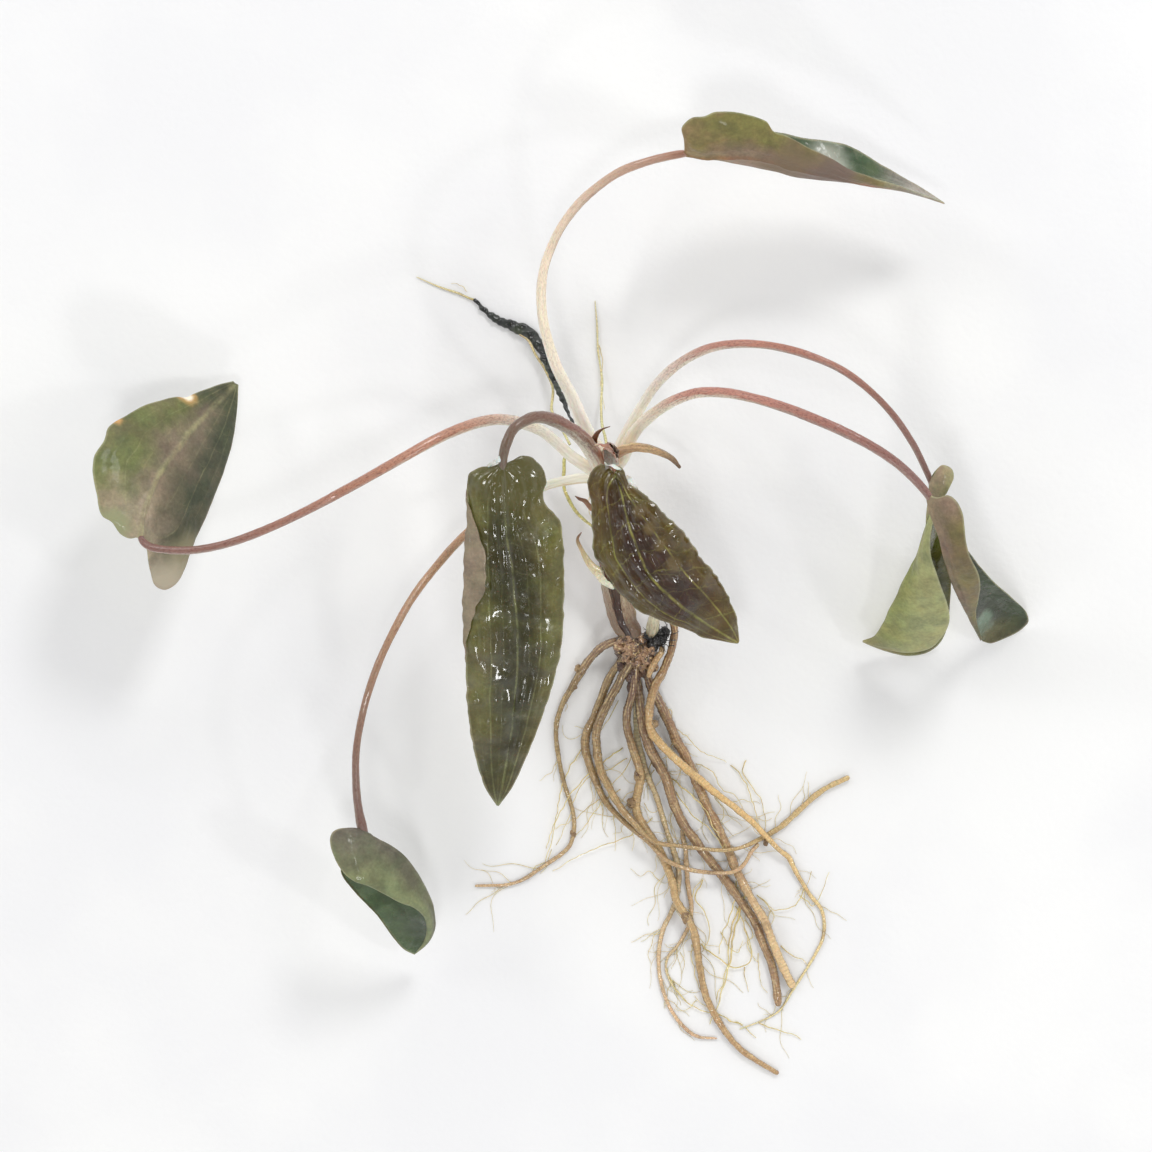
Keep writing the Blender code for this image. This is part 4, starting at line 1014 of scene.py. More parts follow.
def round_off(route, steps=5):
    """The route with a half ball at its end: centres move on by radius * sin(turn), radius becomes * cos(turn)."""
    turn = np.linspace(0, np.pi / 2, steps + 2)[1:-1, None]
    ahead = unit(route[-1:, :3] - route[-2:-1, :3])
    centres = route[-1, :3] + ahead * route[-1, 3] * np.sin(turn)
    return np.vstack([route, np.column_stack([centres, route[-1, 3] * np.cos(turn)])])


def stalk_swell(skin, along, angle, seed):
    """1 + nine fine ribs round the stalk, a shallow channel on top, and slow unevenness."""
    ribs = 0.022 * np.cos(9 * angle + 0.1 * along)
    channel = 0.06 * bell(angle - np.pi / 2, 0.4)
    return 1 + ribs - channel + 0.03 * rough(skin, 7, seed) + 0.015 * rough(skin, 1.6, seed + 1)


def root_swell(skin, along, angle, seed):
    """0.93 + wrinkles round the root, 0.8 mm apart, and lumps of two sizes."""
    wander = 0.6 * rough(skin, 3, seed + 2)
    wrinkles = 0.022 * np.sin(2 * np.pi * along / 0.8 + wander * 3)
    return 0.93 + wrinkles + 0.065 * rough(skin, 3.2, seed) + 0.05 * rough(skin, 1.0, seed + 1)


def tube_piece(name, points, columns, step, swell, seed, tinted_or_lit_side=(0, 0, 1)):
    """A tube whose ring points are centre + radius * swelling * (side * cos(angle) + up * sin(angle))."""
    route = round_off(smooth_route(points, rows_for(points, step)))
    side, up = route_frames(route)
    angle = np.linspace(0, 2 * np.pi, columns, endpoint=False)[None, :] + np.zeros((len(route), 1))
    ring = side[:, None] * np.cos(angle)[..., None] + up[:, None] * np.sin(angle)[..., None]
    along = path_lengths(route)[:, None] + 0 * angle
    skin = route[:, None, :3] + route[:, None, 3:] * ring
    grid = route[:, None, :3] + (route[:, None, 3] * swell(skin, along, angle, seed))[..., None] * ring
    # The third value is 1 on the side that faces the given direction and 0 opposite: stalks take it as their
    # pigmented side, roots as painted light on the top that faces up.
    values = {
        "turn": np.stack([np.cos(angle), np.sin(angle), along], axis=-1),
        "course": along / along.max(),
        "tinted_or_lit": 0.5 + 0.5 * (ring @ unit(np.array(tinted_or_lit_side, float))),
    }
    return closed_piece(name, grid, values)


print("a 100 mm route has", rows_for([(0, 0, 0), (100, 0, 0)], 0.5), "rows at half a millimetre")

# %% [markdown]
# Stalk tissue
#
# A stalk is pale and almost clear where it grows out of the crown and turns reddish brown further out, more on one
# side than on the other. The colour sits in streaks and short flecks that follow the stalk. The group takes three
# colours along the stalk and one for its pale side.

# %% The stalk tissue group
FLECK = (92, 38, 30)


def stalk_tissue_group():
    """Colour, gloss and height of a streaked, wet stem, from where each point lies along and round it."""
    inputs = {"Near": GREY, "Middle": GREY, "Far": GREY, "Pale": GREY, "Middle At": 0.4, "Streaks": 0.5}
    tree, given, result = new_group("stalk_tissue", inputs, ("Color", "Roughness", "Height"))
    turn = carried(tree, "turn", "Vector")
    share = carried(tree, "course")
    streaks = noise(stretched(turn, (1, 1, 0.07)), 3.2, 4.0, 0.6)
    flecks = noise(stretched(turn, (1, 1, 0.3)), 5.0, 4.0, 0.7)
    middle_at = given["Middle At"]
    along = blend(remap(share, middle_at * 0.35, middle_at), given["Near"], given["Middle"])
    along = blend(remap(share, middle_at, 1.0), along, given["Far"])
    side = remap(carried(tree, "tinted_or_lit") + remap(streaks, 0.32, 0.68, -0.16, 0.16), 0.2, 0.7)
    pale = blend(remap(share, 0.25, 0.65, 0.0, 0.8), given["Pale"], given["Far"])
    base = blend(side, pale, along)
    depth = remap(flecks, 0.48, 0.6) * given["Streaks"] * remap(share, 0.08, 0.36, 0.04, 1.0)
    marked = blend(depth, base, blend(0.72, base, tint(*FLECK)))
    colour = shaded(marked, remap(streaks, 0.25, 0.75, 0.92, 1.1))
    roughness = remap(flecks, 0.3, 0.7, 0.28, 0.46)
    feed(result, {"Color": colour, "Roughness": roughness, "Height": streaks + flecks * 0.5})
    return tree


def streaked_material(name, near, middle, far, pale, middle_at=0.4, streaks=0.5, coat=0.5, relief=0.00012):
    """Streaked tissue in a piece's own colours, under a thin film of water."""
    material = new_material(name)
    look = {"Near": tint(*near), "Middle": tint(*middle), "Far": tint(*far), "Pale": tint(*pale)}
    tissue = use_group(material.node_tree, stalk_tissue, {**look, "Middle At": middle_at, "Streaks": streaks})
    return finish(
        material, tissue["Color"], tissue["Roughness"], tissue["Height"], strength=0.6, depth=relief,
        others={"Coat Weight": coat, "Coat Roughness": 0.12, "Subsurface Weight": 0.25, "Subsurface Scale": 0.001},
    )


stalk_tissue = stalk_tissue_group()
print("stalk tissue has", len(stalk_tissue.nodes), "nodes")

# %% [markdown]
# The leaf stalks
#
# Seven stalks rise from the crown in arches. Each route is the solid's, with a wider foot added inside the crown,
# where the stalk clasps the stem, and a taper added at the far end, where it runs on into the blade's midrib.

# %% Grow the leaf stalks
STALKS = {
    "front_left": [
        (7.4, 25.2, 13.4, 1.9), (6.2, 27.3, 18.2, 1.65), (4.9, 29.6, 23, 1.6), (3, 31.8, 29, 1.48),
        (0.7, 33.4, 33.5, 1.35), (-2.1, 34.8, 37.5, 1.28), (-4.7, 35.3, 40.5, 1.2), (-7.1, 34.8, 43, 1.12),
        (-9.8, 33, 44.5, 1.05), (-11.2, 30.2, 45, 1), (-11.8, 27.8, 44.7, 0.95), (-11.9, 26.4, 44.2, 0.88),
        (-11.8, 25, 43.4, 0.6),
    ],
    "front_right": [
        (8.6, 24.9, 13, 1.3), (9.2, 26, 17, 1.1), (8.7, 27.6, 22, 1.1), (8.2, 28.8, 29, 1.15),
        (8.3, 28.6, 35, 1.1), (8.8, 27.3, 39.5, 0.95), (9.2, 26.2, 40.6, 0.75), (9.4, 24.6, 40.9, 0.3),
    ],
    "left": [
        (6.6, 25, 11.4, 1.4), (4.6, 26.2, 13.2, 1.2), (1, 28.5, 18, 1.14), (-2.1, 31.2, 23, 1.1),
        (-5, 33.3, 27, 1.1), (-11.8, 35.1, 33, 1.06), (-16.3, 34.5, 36, 1.04), (-21.8, 32.5, 39, 1),
        (-27.5, 29.5, 41.5, 0.97), (-34.4, 25.5, 43.5, 0.93), (-43.1, 20.6, 45, 0.88), (-50.8, 16.6, 44.5, 0.83),
        (-59, 13, 43.5, 0.8), (-65.8, 10.8, 42, 0.78), (-71.3, 9.9, 40.5, 0.77), (-76.7, 10, 38.5, 0.76),
        (-79.7, 10.6, 37.3, 0.75), (-81.2, 11.7, 36.4, 0.7), (-81.7, 13.1, 35.8, 0.5), (-81.5, 15.2, 35, 0.2),
    ],
    "lower_left": [
        (6.8, 23.6, 9.6, 1.2), (4.2, 24.3, 9.7, 1.05), (0, 23.8, 11, 1), (-3.5, 22.9, 13.5, 0.95),
        (-8, 21, 16.5, 0.92), (-11.9, 18.8, 19.5, 0.88), (-19.3, 13.2, 25, 0.82), (-26.3, 5.2, 31, 0.77),
        (-29.6, 0.6, 33.5, 0.76), (-32.7, -5, 36, 0.75), (-35.4, -10.7, 37.5, 0.73), (-37.5, -16.4, 38, 0.71),
        (-39.2, -22.7, 37.5, 0.7), (-40.2, -29, 36.5, 0.7), (-40.3, -35.4, 34.5, 0.74), (-39.9, -40.1, 32.8, 0.82),
        (-39.4, -42.9, 31.9, 0.95), (-38.9, -44.9, 31.2, 0.85), (-37.4, -46.6, 30.4, 0.34),
    ],
    "top": [
        (7.8, 27, 11.8, 1.5), (6.5, 29.8, 13, 1.4), (4.4, 32.9, 16.5, 1.38), (0.8, 40.7, 22, 1.22),
        (-2, 46.1, 26, 1.1), (-3.9, 52.2, 29.5, 1), (-4.7, 58, 32, 0.95), (-4.3, 63.5, 34, 0.9),
        (-2.7, 68.2, 35.5, 0.87), (-0.8, 72, 36.5, 0.85), (2.3, 76.1, 37, 0.84), (6.3, 79.7, 37.5, 0.83),
        (10.7, 82.6, 37, 0.82), (15.9, 84.6, 36, 0.83), (19.6, 85.6, 35, 0.82), (22, 86.1, 34.3, 0.76),
        (23.6, 86.3, 33.9, 0.62), (27, 85.8, 33.5, 0.34),
    ],
    "right_upper": [
        (8.9, 27.6, 11.4, 1.4), (10.5, 30.4, 12.9, 1.2), (14, 36.8, 19, 1.04), (17.7, 42.3, 25, 0.97),
        (22.4, 46.3, 30.5, 0.92), (27.9, 48.8, 35, 0.86), (34.3, 49.4, 39, 0.8), (40.7, 48.6, 41.5, 0.76),
        (47.1, 46.7, 42.8, 0.72), (52.8, 44.1, 43, 0.69), (58.3, 40, 42.6, 0.67), (63.1, 34.9, 41.5, 0.66),
        (66.7, 29.7, 39.8, 0.65), (69, 25.3, 38, 0.63), (69.8, 23.6, 37.5, 0.6), (70.5, 21.6, 36.8, 0.52),
        (70.3, 19.3, 36.1, 0.3),
    ],
    "right_lower": [
        (9.2, 26.2, 13, 1.6), (11.2, 28.3, 15.4, 1.35), (12.8, 32.1, 18.5, 1.28), (15.1, 34.9, 22.5, 1.2),
        (20.1, 38.4, 29.5, 1.08), (25.1, 40.1, 34.5, 1), (30.5, 40, 39, 0.96), (35.9, 38.8, 42.3, 0.94),
        (41.6, 37, 44.6, 0.95), (47.1, 34.8, 46.3, 0.96), (52.5, 32.4, 47.3, 0.94), (57.9, 29.6, 47.5, 0.92),
        (62.4, 26.7, 46.8, 0.88), (66.1, 23.5, 45.6, 0.85), (68.5, 20.9, 44.6, 0.78), (69.5, 19.3, 44.1, 0.62),
        (70.1, 17, 43.8, 0.34),
    ],
}
STALK_LOOKS = {
    "front_left": ((196, 136, 112), (142, 94, 80), (104, 90, 72), (246, 240, 220), 0.3, 0.75),
    "front_right": ((212, 178, 148), (150, 108, 80), (168, 116, 84), (206, 186, 156), 0.5, 0.5),
    "left": ((252, 250, 234), (186, 134, 108), (132, 96, 86), (246, 240, 220), 0.38, 0.75),
    "lower_left": ((252, 252, 236), (190, 152, 116), (116, 88, 78), (232, 216, 180), 0.32, 0.7),
    # The top stalk's middle colour is near white, partly a painted highlight along its lit side.
    "top": ((255, 250, 236), (252, 238, 212), (160, 112, 88), (252, 248, 232), 0.4, 0.3),
    "right_upper": ((252, 250, 236), (186, 130, 110), (124, 92, 82), (248, 242, 224), 0.42, 0.7),
    "right_lower": ((252, 244, 222), (192, 134, 116), (134, 98, 90), (250, 246, 224), 0.36, 0.75),
}
STALK_STEP = 0.45
STALK_COLUMNS = 28
TINTED_SIDE = (0.1, 0.75, 0.65)

for number, (name, points) in enumerate(STALKS.items()):
    piece = tube_piece(name + "_stalk", points, STALK_COLUMNS, STALK_STEP, stalk_swell, 31 + number, TINTED_SIDE)
    dress(piece, streaked_material(name + "_stalk", *STALK_LOOKS[name]), "leaf_stalk", name + "_leaf_stalk")
    print(name, "stalk:", len(piece.data.polygons), "faces")

# %% [markdown]
# Root tissue
#
# The roots are golden brown and a little glassy, darker near the rhizome, lighter and yellower towards their tips,
# with a fine banding round them, dark stains in patches, and painted shade in the grooves of their rings. Their
# tops are painted lighter and their sides darker, as light from above would leave them, and pale glassy strands
# along them stand partly for painted highlights. Each root has its own three colours, because young roots are pale
# and old ones brown.

# %% The root tissue group
STAIN = (78, 52, 34)
# Partly a painted highlight: the colour of the pale glassy strands along a root.
CLEAR_STRAND_AND_HIGHLIGHT = (236, 212, 158)
RING_RADIANS_PER_MM = 8.0


def root_tissue_group():
    """Colour, gloss and height of a root, from where each point lies along and round it."""
    inputs = {"Near": GREY, "Middle": GREY, "Far": GREY}
    tree, given, result = new_group("root_tissue", inputs, ("Color", "Roughness", "Height"))
    turn = carried(tree, "turn", "Vector")
    share = carried(tree, "course")
    place = place_of(tree)
    bands = noise(stretched(turn, (0.35, 0.35, 1)), 2.6, 4.0, 0.6)
    strands = noise(stretched(turn, (1, 1, 0.12)), 3.0)
    patches = noise(place, 190.0, 4.0, 0.6)
    along = blend(remap(share, 0.05, 0.3), given["Near"], given["Middle"])
    along = blend(remap(share, 0.45, 1.0), along, given["Far"])
    dark = blend(0.55, along, tint(*STAIN))
    mixed = blend(remap(patches, 0.5, 0.72), along, dark)
    # Partly painted highlight: pale glassy strands along the root, made strong enough to stand in for its highlights.
    mixed = blend(remap(strands, 0.46, 0.66), mixed, blend(0.5, along, tint(*CLEAR_STRAND_AND_HIGHLIGHT)))
    mixed = blend(remap(noise(place, 1300.0, 3.0, 0.6), 0.58, 0.72, 0.0, 0.5), mixed, dark)
    along_root = add(tree, "ShaderNodeSeparateXYZ", {0: turn}, "Z")
    ringed = along_root * RING_RADIANS_PER_MM + patches * 14.0
    rings = ringed.maths("SINE") * remap(strands, 0.3, 0.6, 0.3, 1.0)
    # Painted shade: the grooves of the rings, which the height below sinks, are blended towards the dark colour.
    mixed = blend(remap(rings, 0.1, 0.9, 0.0, 0.2), mixed, dark)
    # Painted light: a root is made up to 1.14 times lighter on top, where it faces up, and down to 0.58 times on its
    # sides and below.
    value = remap(bands, 0.3, 0.7, 0.84, 1.16) * remap(carried(tree, "tinted_or_lit"), 0.45, 0.97, 0.58, 1.14)
    height = bands + noise(place, 1500.0, 2.0) * 0.5 - rings * 0.35
    roughness = remap(patches, 0.3, 0.7, 0.28, 0.5)
    feed(result, {"Color": shaded(mixed, value), "Roughness": roughness, "Height": height})
    return tree


def root_material(name, near, middle, far, coat=0.7):
    """Root tissue in a root's own three colours, slightly wet."""
    material = new_material(name)
    look = {"Near": tint(*near), "Middle": tint(*middle), "Far": tint(*far)}
    tissue = use_group(material.node_tree, root_tissue, look)
    return finish(
        material, tissue["Color"], tissue["Roughness"], tissue["Height"], strength=0.75, depth=0.00025,
        others={"Coat Weight": coat, "Coat Roughness": 0.08, "Subsurface Weight": 0.1, "Subsurface Scale": 0.0008},
    )


root_tissue = root_tissue_group()
print("root tissue has", len(root_tissue.nodes), "nodes")

# %% [markdown]
# The main roots
#
# Ten roots leave the rhizome, cross over each other and lie down on the surface. Two end in a clean cut, the others
# thin out. Their routes are the solids', with a start added inside the rhizome so that no gap shows.

# %% Grow the main roots
ROOTS = {
    "left_root": [
        (10.8, -7.9, 5.2, 0.95), (9.1, -8.2, 5.2, 0.9), (7, -9.3, 4, 0.88), (4.9, -11.4, 2.2, 0.88),
        (2.9, -14.4, 1.2, 0.88), (0.9, -17.8, 0.8, 0.7), (-1, -21.4, 0.65, 0.6), (-2, -25.8, 0.6, 0.54),
        (-0.8, -34.8, 0.55, 0.5), (1.6, -43.8, 0.5, 0.48), (0.7, -48.9, 0.5, 0.46), (-4.4, -53, 0.45, 0.42),
        (-10.2, -56.4, 0.42, 0.38), (-18, -57, 0.35, 0.26),
    ],
    "outer_left_root": [
        (11.6, -11.4, 5.6, 0.95), (10.1, -13.1, 5, 0.88), (9, -14.6, 4.2, 0.9), (7.8, -17.2, 3, 0.95),
        (6.8, -20.2, 2, 0.95), (5.6, -23.2, 1.3, 0.95), (4.4, -25.6, 1, 0.95), (3.8, -28.6, 1, 0.92),
        (4.4, -31.6, 0.95, 0.9), (5.6, -35, 0.9, 0.82), (7, -38.6, 0.9, 0.76), (8.6, -41, 1.1, 0.7),
        (10.2, -42.8, 1.7, 0.65), (12, -44.5, 2.4, 0.6), (14, -46.1, 2.9, 0.55), (16.4, -48.1, 3, 0.52),
        (19.9, -51.6, 3, 0.5), (23.7, -53.3, 3, 0.48), (29.1, -54.2, 3, 0.46), (33.7, -53.9, 3, 0.46),
        (35.7, -52.3, 2.6, 0.46), (37.1, -50, 1.6, 0.45), (38.2, -48.8, 1, 0.4),
    ],
    "inner_left_root": [
        (13, -12, 6.2, 0.9), (12, -13.6, 6, 0.85), (11.2, -14.9, 5.6, 0.9), (10.1, -17.2, 4.7, 0.92),
        (8.6, -19.7, 4, 0.95), (7.4, -22.3, 3.3, 0.95), (6.4, -24.8, 2.7, 0.95), (6, -27.4, 2.2, 0.92),
        (6.5, -31.8, 2.1, 0.9), (7.2, -34.5, 2.4, 0.87), (8.4, -36.9, 2.6, 0.84), (9.8, -39.5, 2.8, 0.8),
        (11.4, -41.9, 3.3, 0.75), (13.2, -43.9, 3.9, 0.68), (14.7, -45.6, 4.3, 0.6), (16.5, -47.2, 4.3, 0.52),
        (18.3, -48.2, 4.1, 0.48), (22.3, -48.8, 3.5, 0.46), (25.3, -49.2, 3.4, 0.45), (31.3, -49.7, 3.1, 0.45),
        (34.9, -49.2, 2.7, 0.46), (37.7, -48.1, 1.5, 0.5), (39.6, -47.2, 0.7, 0.55), (43.4, -44.8, 0.65, 0.62),
        (47.2, -41.3, 0.65, 0.63), (51.2, -37.9, 0.65, 0.6), (56.2, -35.4, 0.65, 0.52),
    ],
    "middle_root": [
        (13.7, -13, 5.4, 1), (13.6, -15, 5.5, 0.9), (13.4, -17.5, 5.3, 0.9), (12.9, -19.4, 4.6, 0.9),
        (12.3, -21.8, 3.5, 0.9), (12.1, -24.2, 2.7, 0.9), (12.6, -27, 2.4, 0.92), (13.6, -30.2, 2.4, 0.95),
        (14.8, -34.5, 2.4, 0.95), (14.6, -37.2, 2, 0.95), (14, -40, 1.3, 0.95), (14.2, -42.5, 1, 0.97),
        (15.6, -45.2, 1, 1), (18.2, -49.2, 1, 0.97), (19.6, -51.8, 1.1, 0.95), (20.6, -54.3, 1.6, 0.92),
        (21.4, -56.9, 2.2, 0.9), (22.1, -60, 2.6, 0.9), (24.2, -63.2, 2.7, 0.9), (25.5, -66, 2.3, 0.86),
        (26.2, -69.9, 1.3, 0.82), (26.8, -73.8, 0.85, 0.78), (27.7, -78.2, 0.8, 0.76), (29.4, -82.2, 0.78, 0.74),
        (32.4, -86.8, 0.74, 0.7), (35.1, -89.8, 0.7, 0.66), (38.9, -92.4, 0.65, 0.58), (42.1, -94.3, 0.6, 0.48),
    ],
    "long_right_root": [
        (14, -13, 3.2, 1), (14.2, -15.2, 3, 0.95), (14.5, -19.1, 2.9, 1.05), (14.9, -22.2, 2.8, 1.1),
        (15.4, -25.1, 2.8, 1.12), (16.4, -28.3, 2.8, 1.12), (17.6, -31.2, 2.4, 1.12), (19.6, -34.6, 1.8, 1.1),
        (21.4, -40, 1.5, 1.08), (23.6, -44.8, 1.8, 1.05), (25.4, -47.3, 1.8, 1.02), (27.2, -49.8, 1.6, 1),
        (29.2, -52.4, 1.3, 1), (31.6, -55.4, 1.1, 0.98), (34.8, -59.8, 1, 0.97), (37.6, -63.8, 1, 0.95),
        (39.2, -67.8, 0.95, 0.92), (40.8, -71.8, 0.92, 0.9), (41.8, -75.8, 0.9, 0.88), (42.4, -80.2, 0.88, 0.86),
    ],
    "right_root": [
        (15.2, -12.4, 5, 1.1), (16.2, -14.8, 4.3, 0.98), (16.9, -17.2, 3.4, 1), (18.4, -19.8, 2.6, 1.05),
        (19.6, -22.2, 1.9, 1.08), (20.8, -24.8, 1.5, 1.08), (22, -27.8, 1.2, 1.08), (23.6, -30.6, 1.1, 1.08),
        (25.8, -35.4, 1.1, 1.08), (27, -38.2, 1.1, 1.08), (28.4, -41.6, 1.1, 1.06), (30, -44.8, 1.08, 1.05),
        (32.4, -49.8, 1.05, 1.02), (33.6, -53, 1.15, 1), (34.9, -55.5, 1.7, 0.98), (37.1, -59.6, 2.8, 0.96),
        (39.5, -63.6, 2.7, 0.95), (41.1, -67.7, 2.2, 0.94), (42.7, -71.7, 2.1, 0.93), (45, -76.6, 1, 0.92),
    ],
    "golden_root": [
        (21.2, -4.4, 6.6, 0.75), (21.6, -6.2, 6.4, 0.8), (21, -9.4, 6.3, 0.86), (20.1, -12.1, 6.1, 0.9),
        (19.3, -14, 5.9, 0.92), (17.9, -16.5, 5.7, 0.95), (17.1, -19.1, 5.4, 0.9), (16.6, -21.5, 5.2, 0.9),
        (16.5, -24.1, 5, 0.9), (17.2, -26.3, 4.8, 0.9), (18.7, -28.3, 4.5, 0.9), (21.9, -31.5, 3.8, 0.88),
        (25.1, -34.3, 3.4, 0.86), (29.5, -38, 2.7, 0.8), (34.1, -41.5, 2.3, 0.72), (36.5, -43.5, 2.3, 0.68),
        (39.5, -46.5, 2.4, 0.62), (42.7, -49.8, 1.7, 0.55), (44.5, -51.3, 1.1, 0.55), (45.7, -53.7, 0.8, 0.52),
        (48.8, -58.8, 0.45, 0.43), (51, -61.6, 0.45, 0.4), (51.6, -64.2, 0.4, 0.38), (51.4, -67.2, 0.4, 0.36),
        (50, -70.4, 0.35, 0.33), (45.5, -77.6, 0.3, 0.26), (42.5, -82.1, 0.25, 0.2), (38.8, -84.1, 0.25, 0.16),
        (34.8, -85.6, 0.25, 0.12),
    ],
    "pale_root": [
        (13.2, -14.6, 0.9, 0.64), (13.6, -17.8, 0.7, 0.66), (14, -21.8, 0.7, 0.66), (14.2, -27.4, 0.68, 0.65),
        (15.1, -30.8, 0.65, 0.63), (16.4, -35.4, 0.65, 0.62), (17.8, -38.4, 0.65, 0.62), (19.6, -44.2, 0.63, 0.6),
        (21.4, -49.8, 0.62, 0.6), (22.4, -53, 0.62, 0.6), (22.5, -56.4, 0.62, 0.6), (22, -59.8, 0.6, 0.58),
        (20.8, -62.8, 0.6, 0.56), (19.6, -65.2, 0.55, 0.52), (18.6, -69.8, 0.5, 0.48), (18.8, -75.4, 0.45, 0.44),
        (20.4, -80.6, 0.42, 0.4), (23, -84.6, 0.4, 0.38), (26, -87, 0.38, 0.34), (30, -87.5, 0.35, 0.22),
    ],
    "branch_root": [
        (23.2, -45.8, 0.7, 0.4), (23.4, -47.4, 0.6, 0.5), (23.9, -49.8, 0.58, 0.55), (24.1, -53.4, 0.58, 0.55),
        (24.5, -57.8, 0.58, 0.55), (25.1, -61.4, 0.55, 0.52), (24.6, -64.8, 0.5, 0.45), (22.4, -68.8, 0.4, 0.36),
        (20.4, -71.2, 0.35, 0.3), (20, -73.8, 0.3, 0.25), (21.6, -77.4, 0.25, 0.2), (24, -80, 0.22, 0.12),
    ],
    "short_root": [
        (19, -9.2, 6.4, 0.6), (18.9, -10.2, 7, 0.62), (17.9, -11.7, 7.2, 0.75), (17, -13.3, 6.8, 0.75),
        (16.5, -14.7, 6.8, 0.55),
    ],
}
ROOT_COLOURS = {
    "left_root": [(136, 106, 80), (154, 130, 88), (206, 172, 132)],
    "outer_left_root": [(132, 108, 72), (156, 126, 84), (200, 166, 128)],
    "inner_left_root": [(112, 88, 60), (164, 134, 90), (202, 174, 120)],
    "middle_root": [(108, 78, 60), (186, 154, 106), (178, 142, 100)],
    "long_right_root": [(120, 94, 72), (152, 120, 88), (152, 118, 84)],
    "right_root": [(122, 92, 72), (160, 124, 88), (222, 190, 142)],
    "golden_root": [(134, 98, 66), (220, 182, 122), (238, 224, 170)],
    "pale_root": [(196, 188, 148), (198, 176, 136), (222, 184, 146)],
    "branch_root": [(188, 160, 124), (198, 166, 128), (228, 212, 166)],
    "short_root": [(150, 118, 80), (170, 134, 90), (180, 146, 100)],
}
ROOT_STEP = 0.28
ROOT_COLUMNS = 16


def grow_roots(routes, colours, columns, slot, coat, seed):
    """A wrinkled tube in its own three colours for each route, with a seed five higher from one to the next."""
    for number, (name, points) in enumerate(routes.items()):
        # The default side is straight up, so the root tissue paints each root's top lighter, as if lit from above.
        piece = tube_piece(name + "_skin", points, columns, ROOT_STEP, root_swell, seed + 5 * number)
        dress(piece, root_material(name, *colours[name], coat), slot, name)
        print(name + ":", len(piece.data.polygons), "faces")


grow_roots(ROOTS, ROOT_COLOURS, ROOT_COLUMNS, "root", 0.7, 71)

# %% [markdown]
# The fine roots with a form of their own
#
# Four thin pale roots grow from the stem and the crown. They are young, nearly clear and yellowish.

# %% Grow the fine roots
FINE_ROOTS = {
    "upper_fine_root": [
        (8.1, 29.6, 10, 0.3), (7.9, 31.9, 8, 0.3), (7.2, 35, 5, 0.3), (7, 39.1, 2.5, 0.28), (7.2, 44.1, 1.2, 0.26),
        (6.4, 50.1, 0.6, 0.24), (6.2, 55.1, 0.35, 0.2), (5.8, 59.9, 0.25, 0.1),
    ],
    "side_fine_root": [
        (0.8, 31, 8, 0.3), (-1.2, 34.9, 6, 0.3), (-2.8, 37.8, 4, 0.3), (-2.6, 42.1, 2.2, 0.3), (-3.4, 44.7, 1.6, 0.3),
        (-4.6, 46.9, 1.4, 0.3), (-6.1, 49.2, 1.9, 0.28), (-7.5, 51.9, 2.4, 0.25), (-9.2, 53.1, 2.3, 0.14),
    ],
    "far_fine_root": [
        (-18.4, 60.2, 0.5, 0.24), (-19.1, 60.4, 0.4, 0.25), (-21.6, 61.5, 0.3, 0.25), (-25.2, 62.7, 0.28, 0.2),
        (-29.8, 64.7, 0.22, 0.1),
    ],
    "yellow_root": [
        (3, 28.4, 9.6, 0.35), (0, 28.7, 8, 0.36), (-0.4, 25.6, 6, 0.38), (-0.4, 22.7, 5, 0.38),
        (0.6, 20.1, 4.5, 0.38), (2.2, 17.5, 4.6, 0.36), (5.4, 14.7, 5.5, 0.3), (7.4, 13.2, 6.6, 0.28),
    ],
}
FINE_ROOT_COLOURS = {
    "upper_fine_root": [(214, 212, 150), (220, 214, 160), (226, 214, 172)],
    "side_fine_root": [(216, 214, 156), (216, 208, 150), (222, 206, 158)],
    "far_fine_root": [(206, 190, 132), (222, 210, 156), (228, 218, 170)],
    "yellow_root": [(222, 222, 150), (214, 208, 130), (218, 214, 146)],
}
FINE_ROOT_COLUMNS = 12

grow_roots(FINE_ROOTS, FINE_ROOT_COLOURS, FINE_ROOT_COLUMNS, "fine_root", 0.5, 131)

# %% [markdown]
# Strips
#
# Sheaths, scale leaves and the dead leaf are strips: a route with a half width, and a section bent into an arc.
# A strip has real thickness, so it is closed like a blade, out along its upper skin and back along its lower one.

# %% Strips along routes


def thick_piece(name, middle, offset, values):
    """A closed sheet: middle + offset across its upper skin, and middle - offset back across its lower one."""
    values = {label: folded_back(data) for label, data in values.items()}
    return closed_piece(name, folded_back(middle + offset, middle - offset), values)


def strip_piece(name, points, step, curl, half_columns, seed, crinkle, sheet):
    """A strip whose section is an arc that turns through twice the angle curl.

    Across it, from t = -1 to 1, a point is centre + half width / curl * (side * sin(curl * t) + up *
    (cos(curl * t) - cos(curl))), plus crinkle times a smooth random height. It is sheet millimetres thick.
    """
    route = smooth_route(points, rows_for(points, step))
    side, up = route_frames(route)
    t = np.linspace(-1, 1, 2 * half_columns + 1)[None, :, None]
    half = route[:, None, 3:]
    out = side[:, None] * np.sin(curl * t) + up[:, None] * np.cos(curl * t)
    middle = route[:, None, :3] + half / curl * (out - up[:, None] * np.cos(curl))
    middle = middle + crinkle * out * rough(middle, 1.6, seed)[..., None]
    thin = sheet / 2 * np.clip(half / 0.5, 0.25, 1) * (1 - 0.6 * t**4)
    along = path_lengths(route)[:, None] + 0 * t[..., 0]
    across = t[..., 0] + 0 * along
    return thick_piece(name, middle, out * thin, {
        "turn": np.stack([across, 0 * across, along], axis=-1), "course": along / along.max(),
        "tinted_or_lit": 0.5 + 0.5 * np.cos(curl * across),
    })


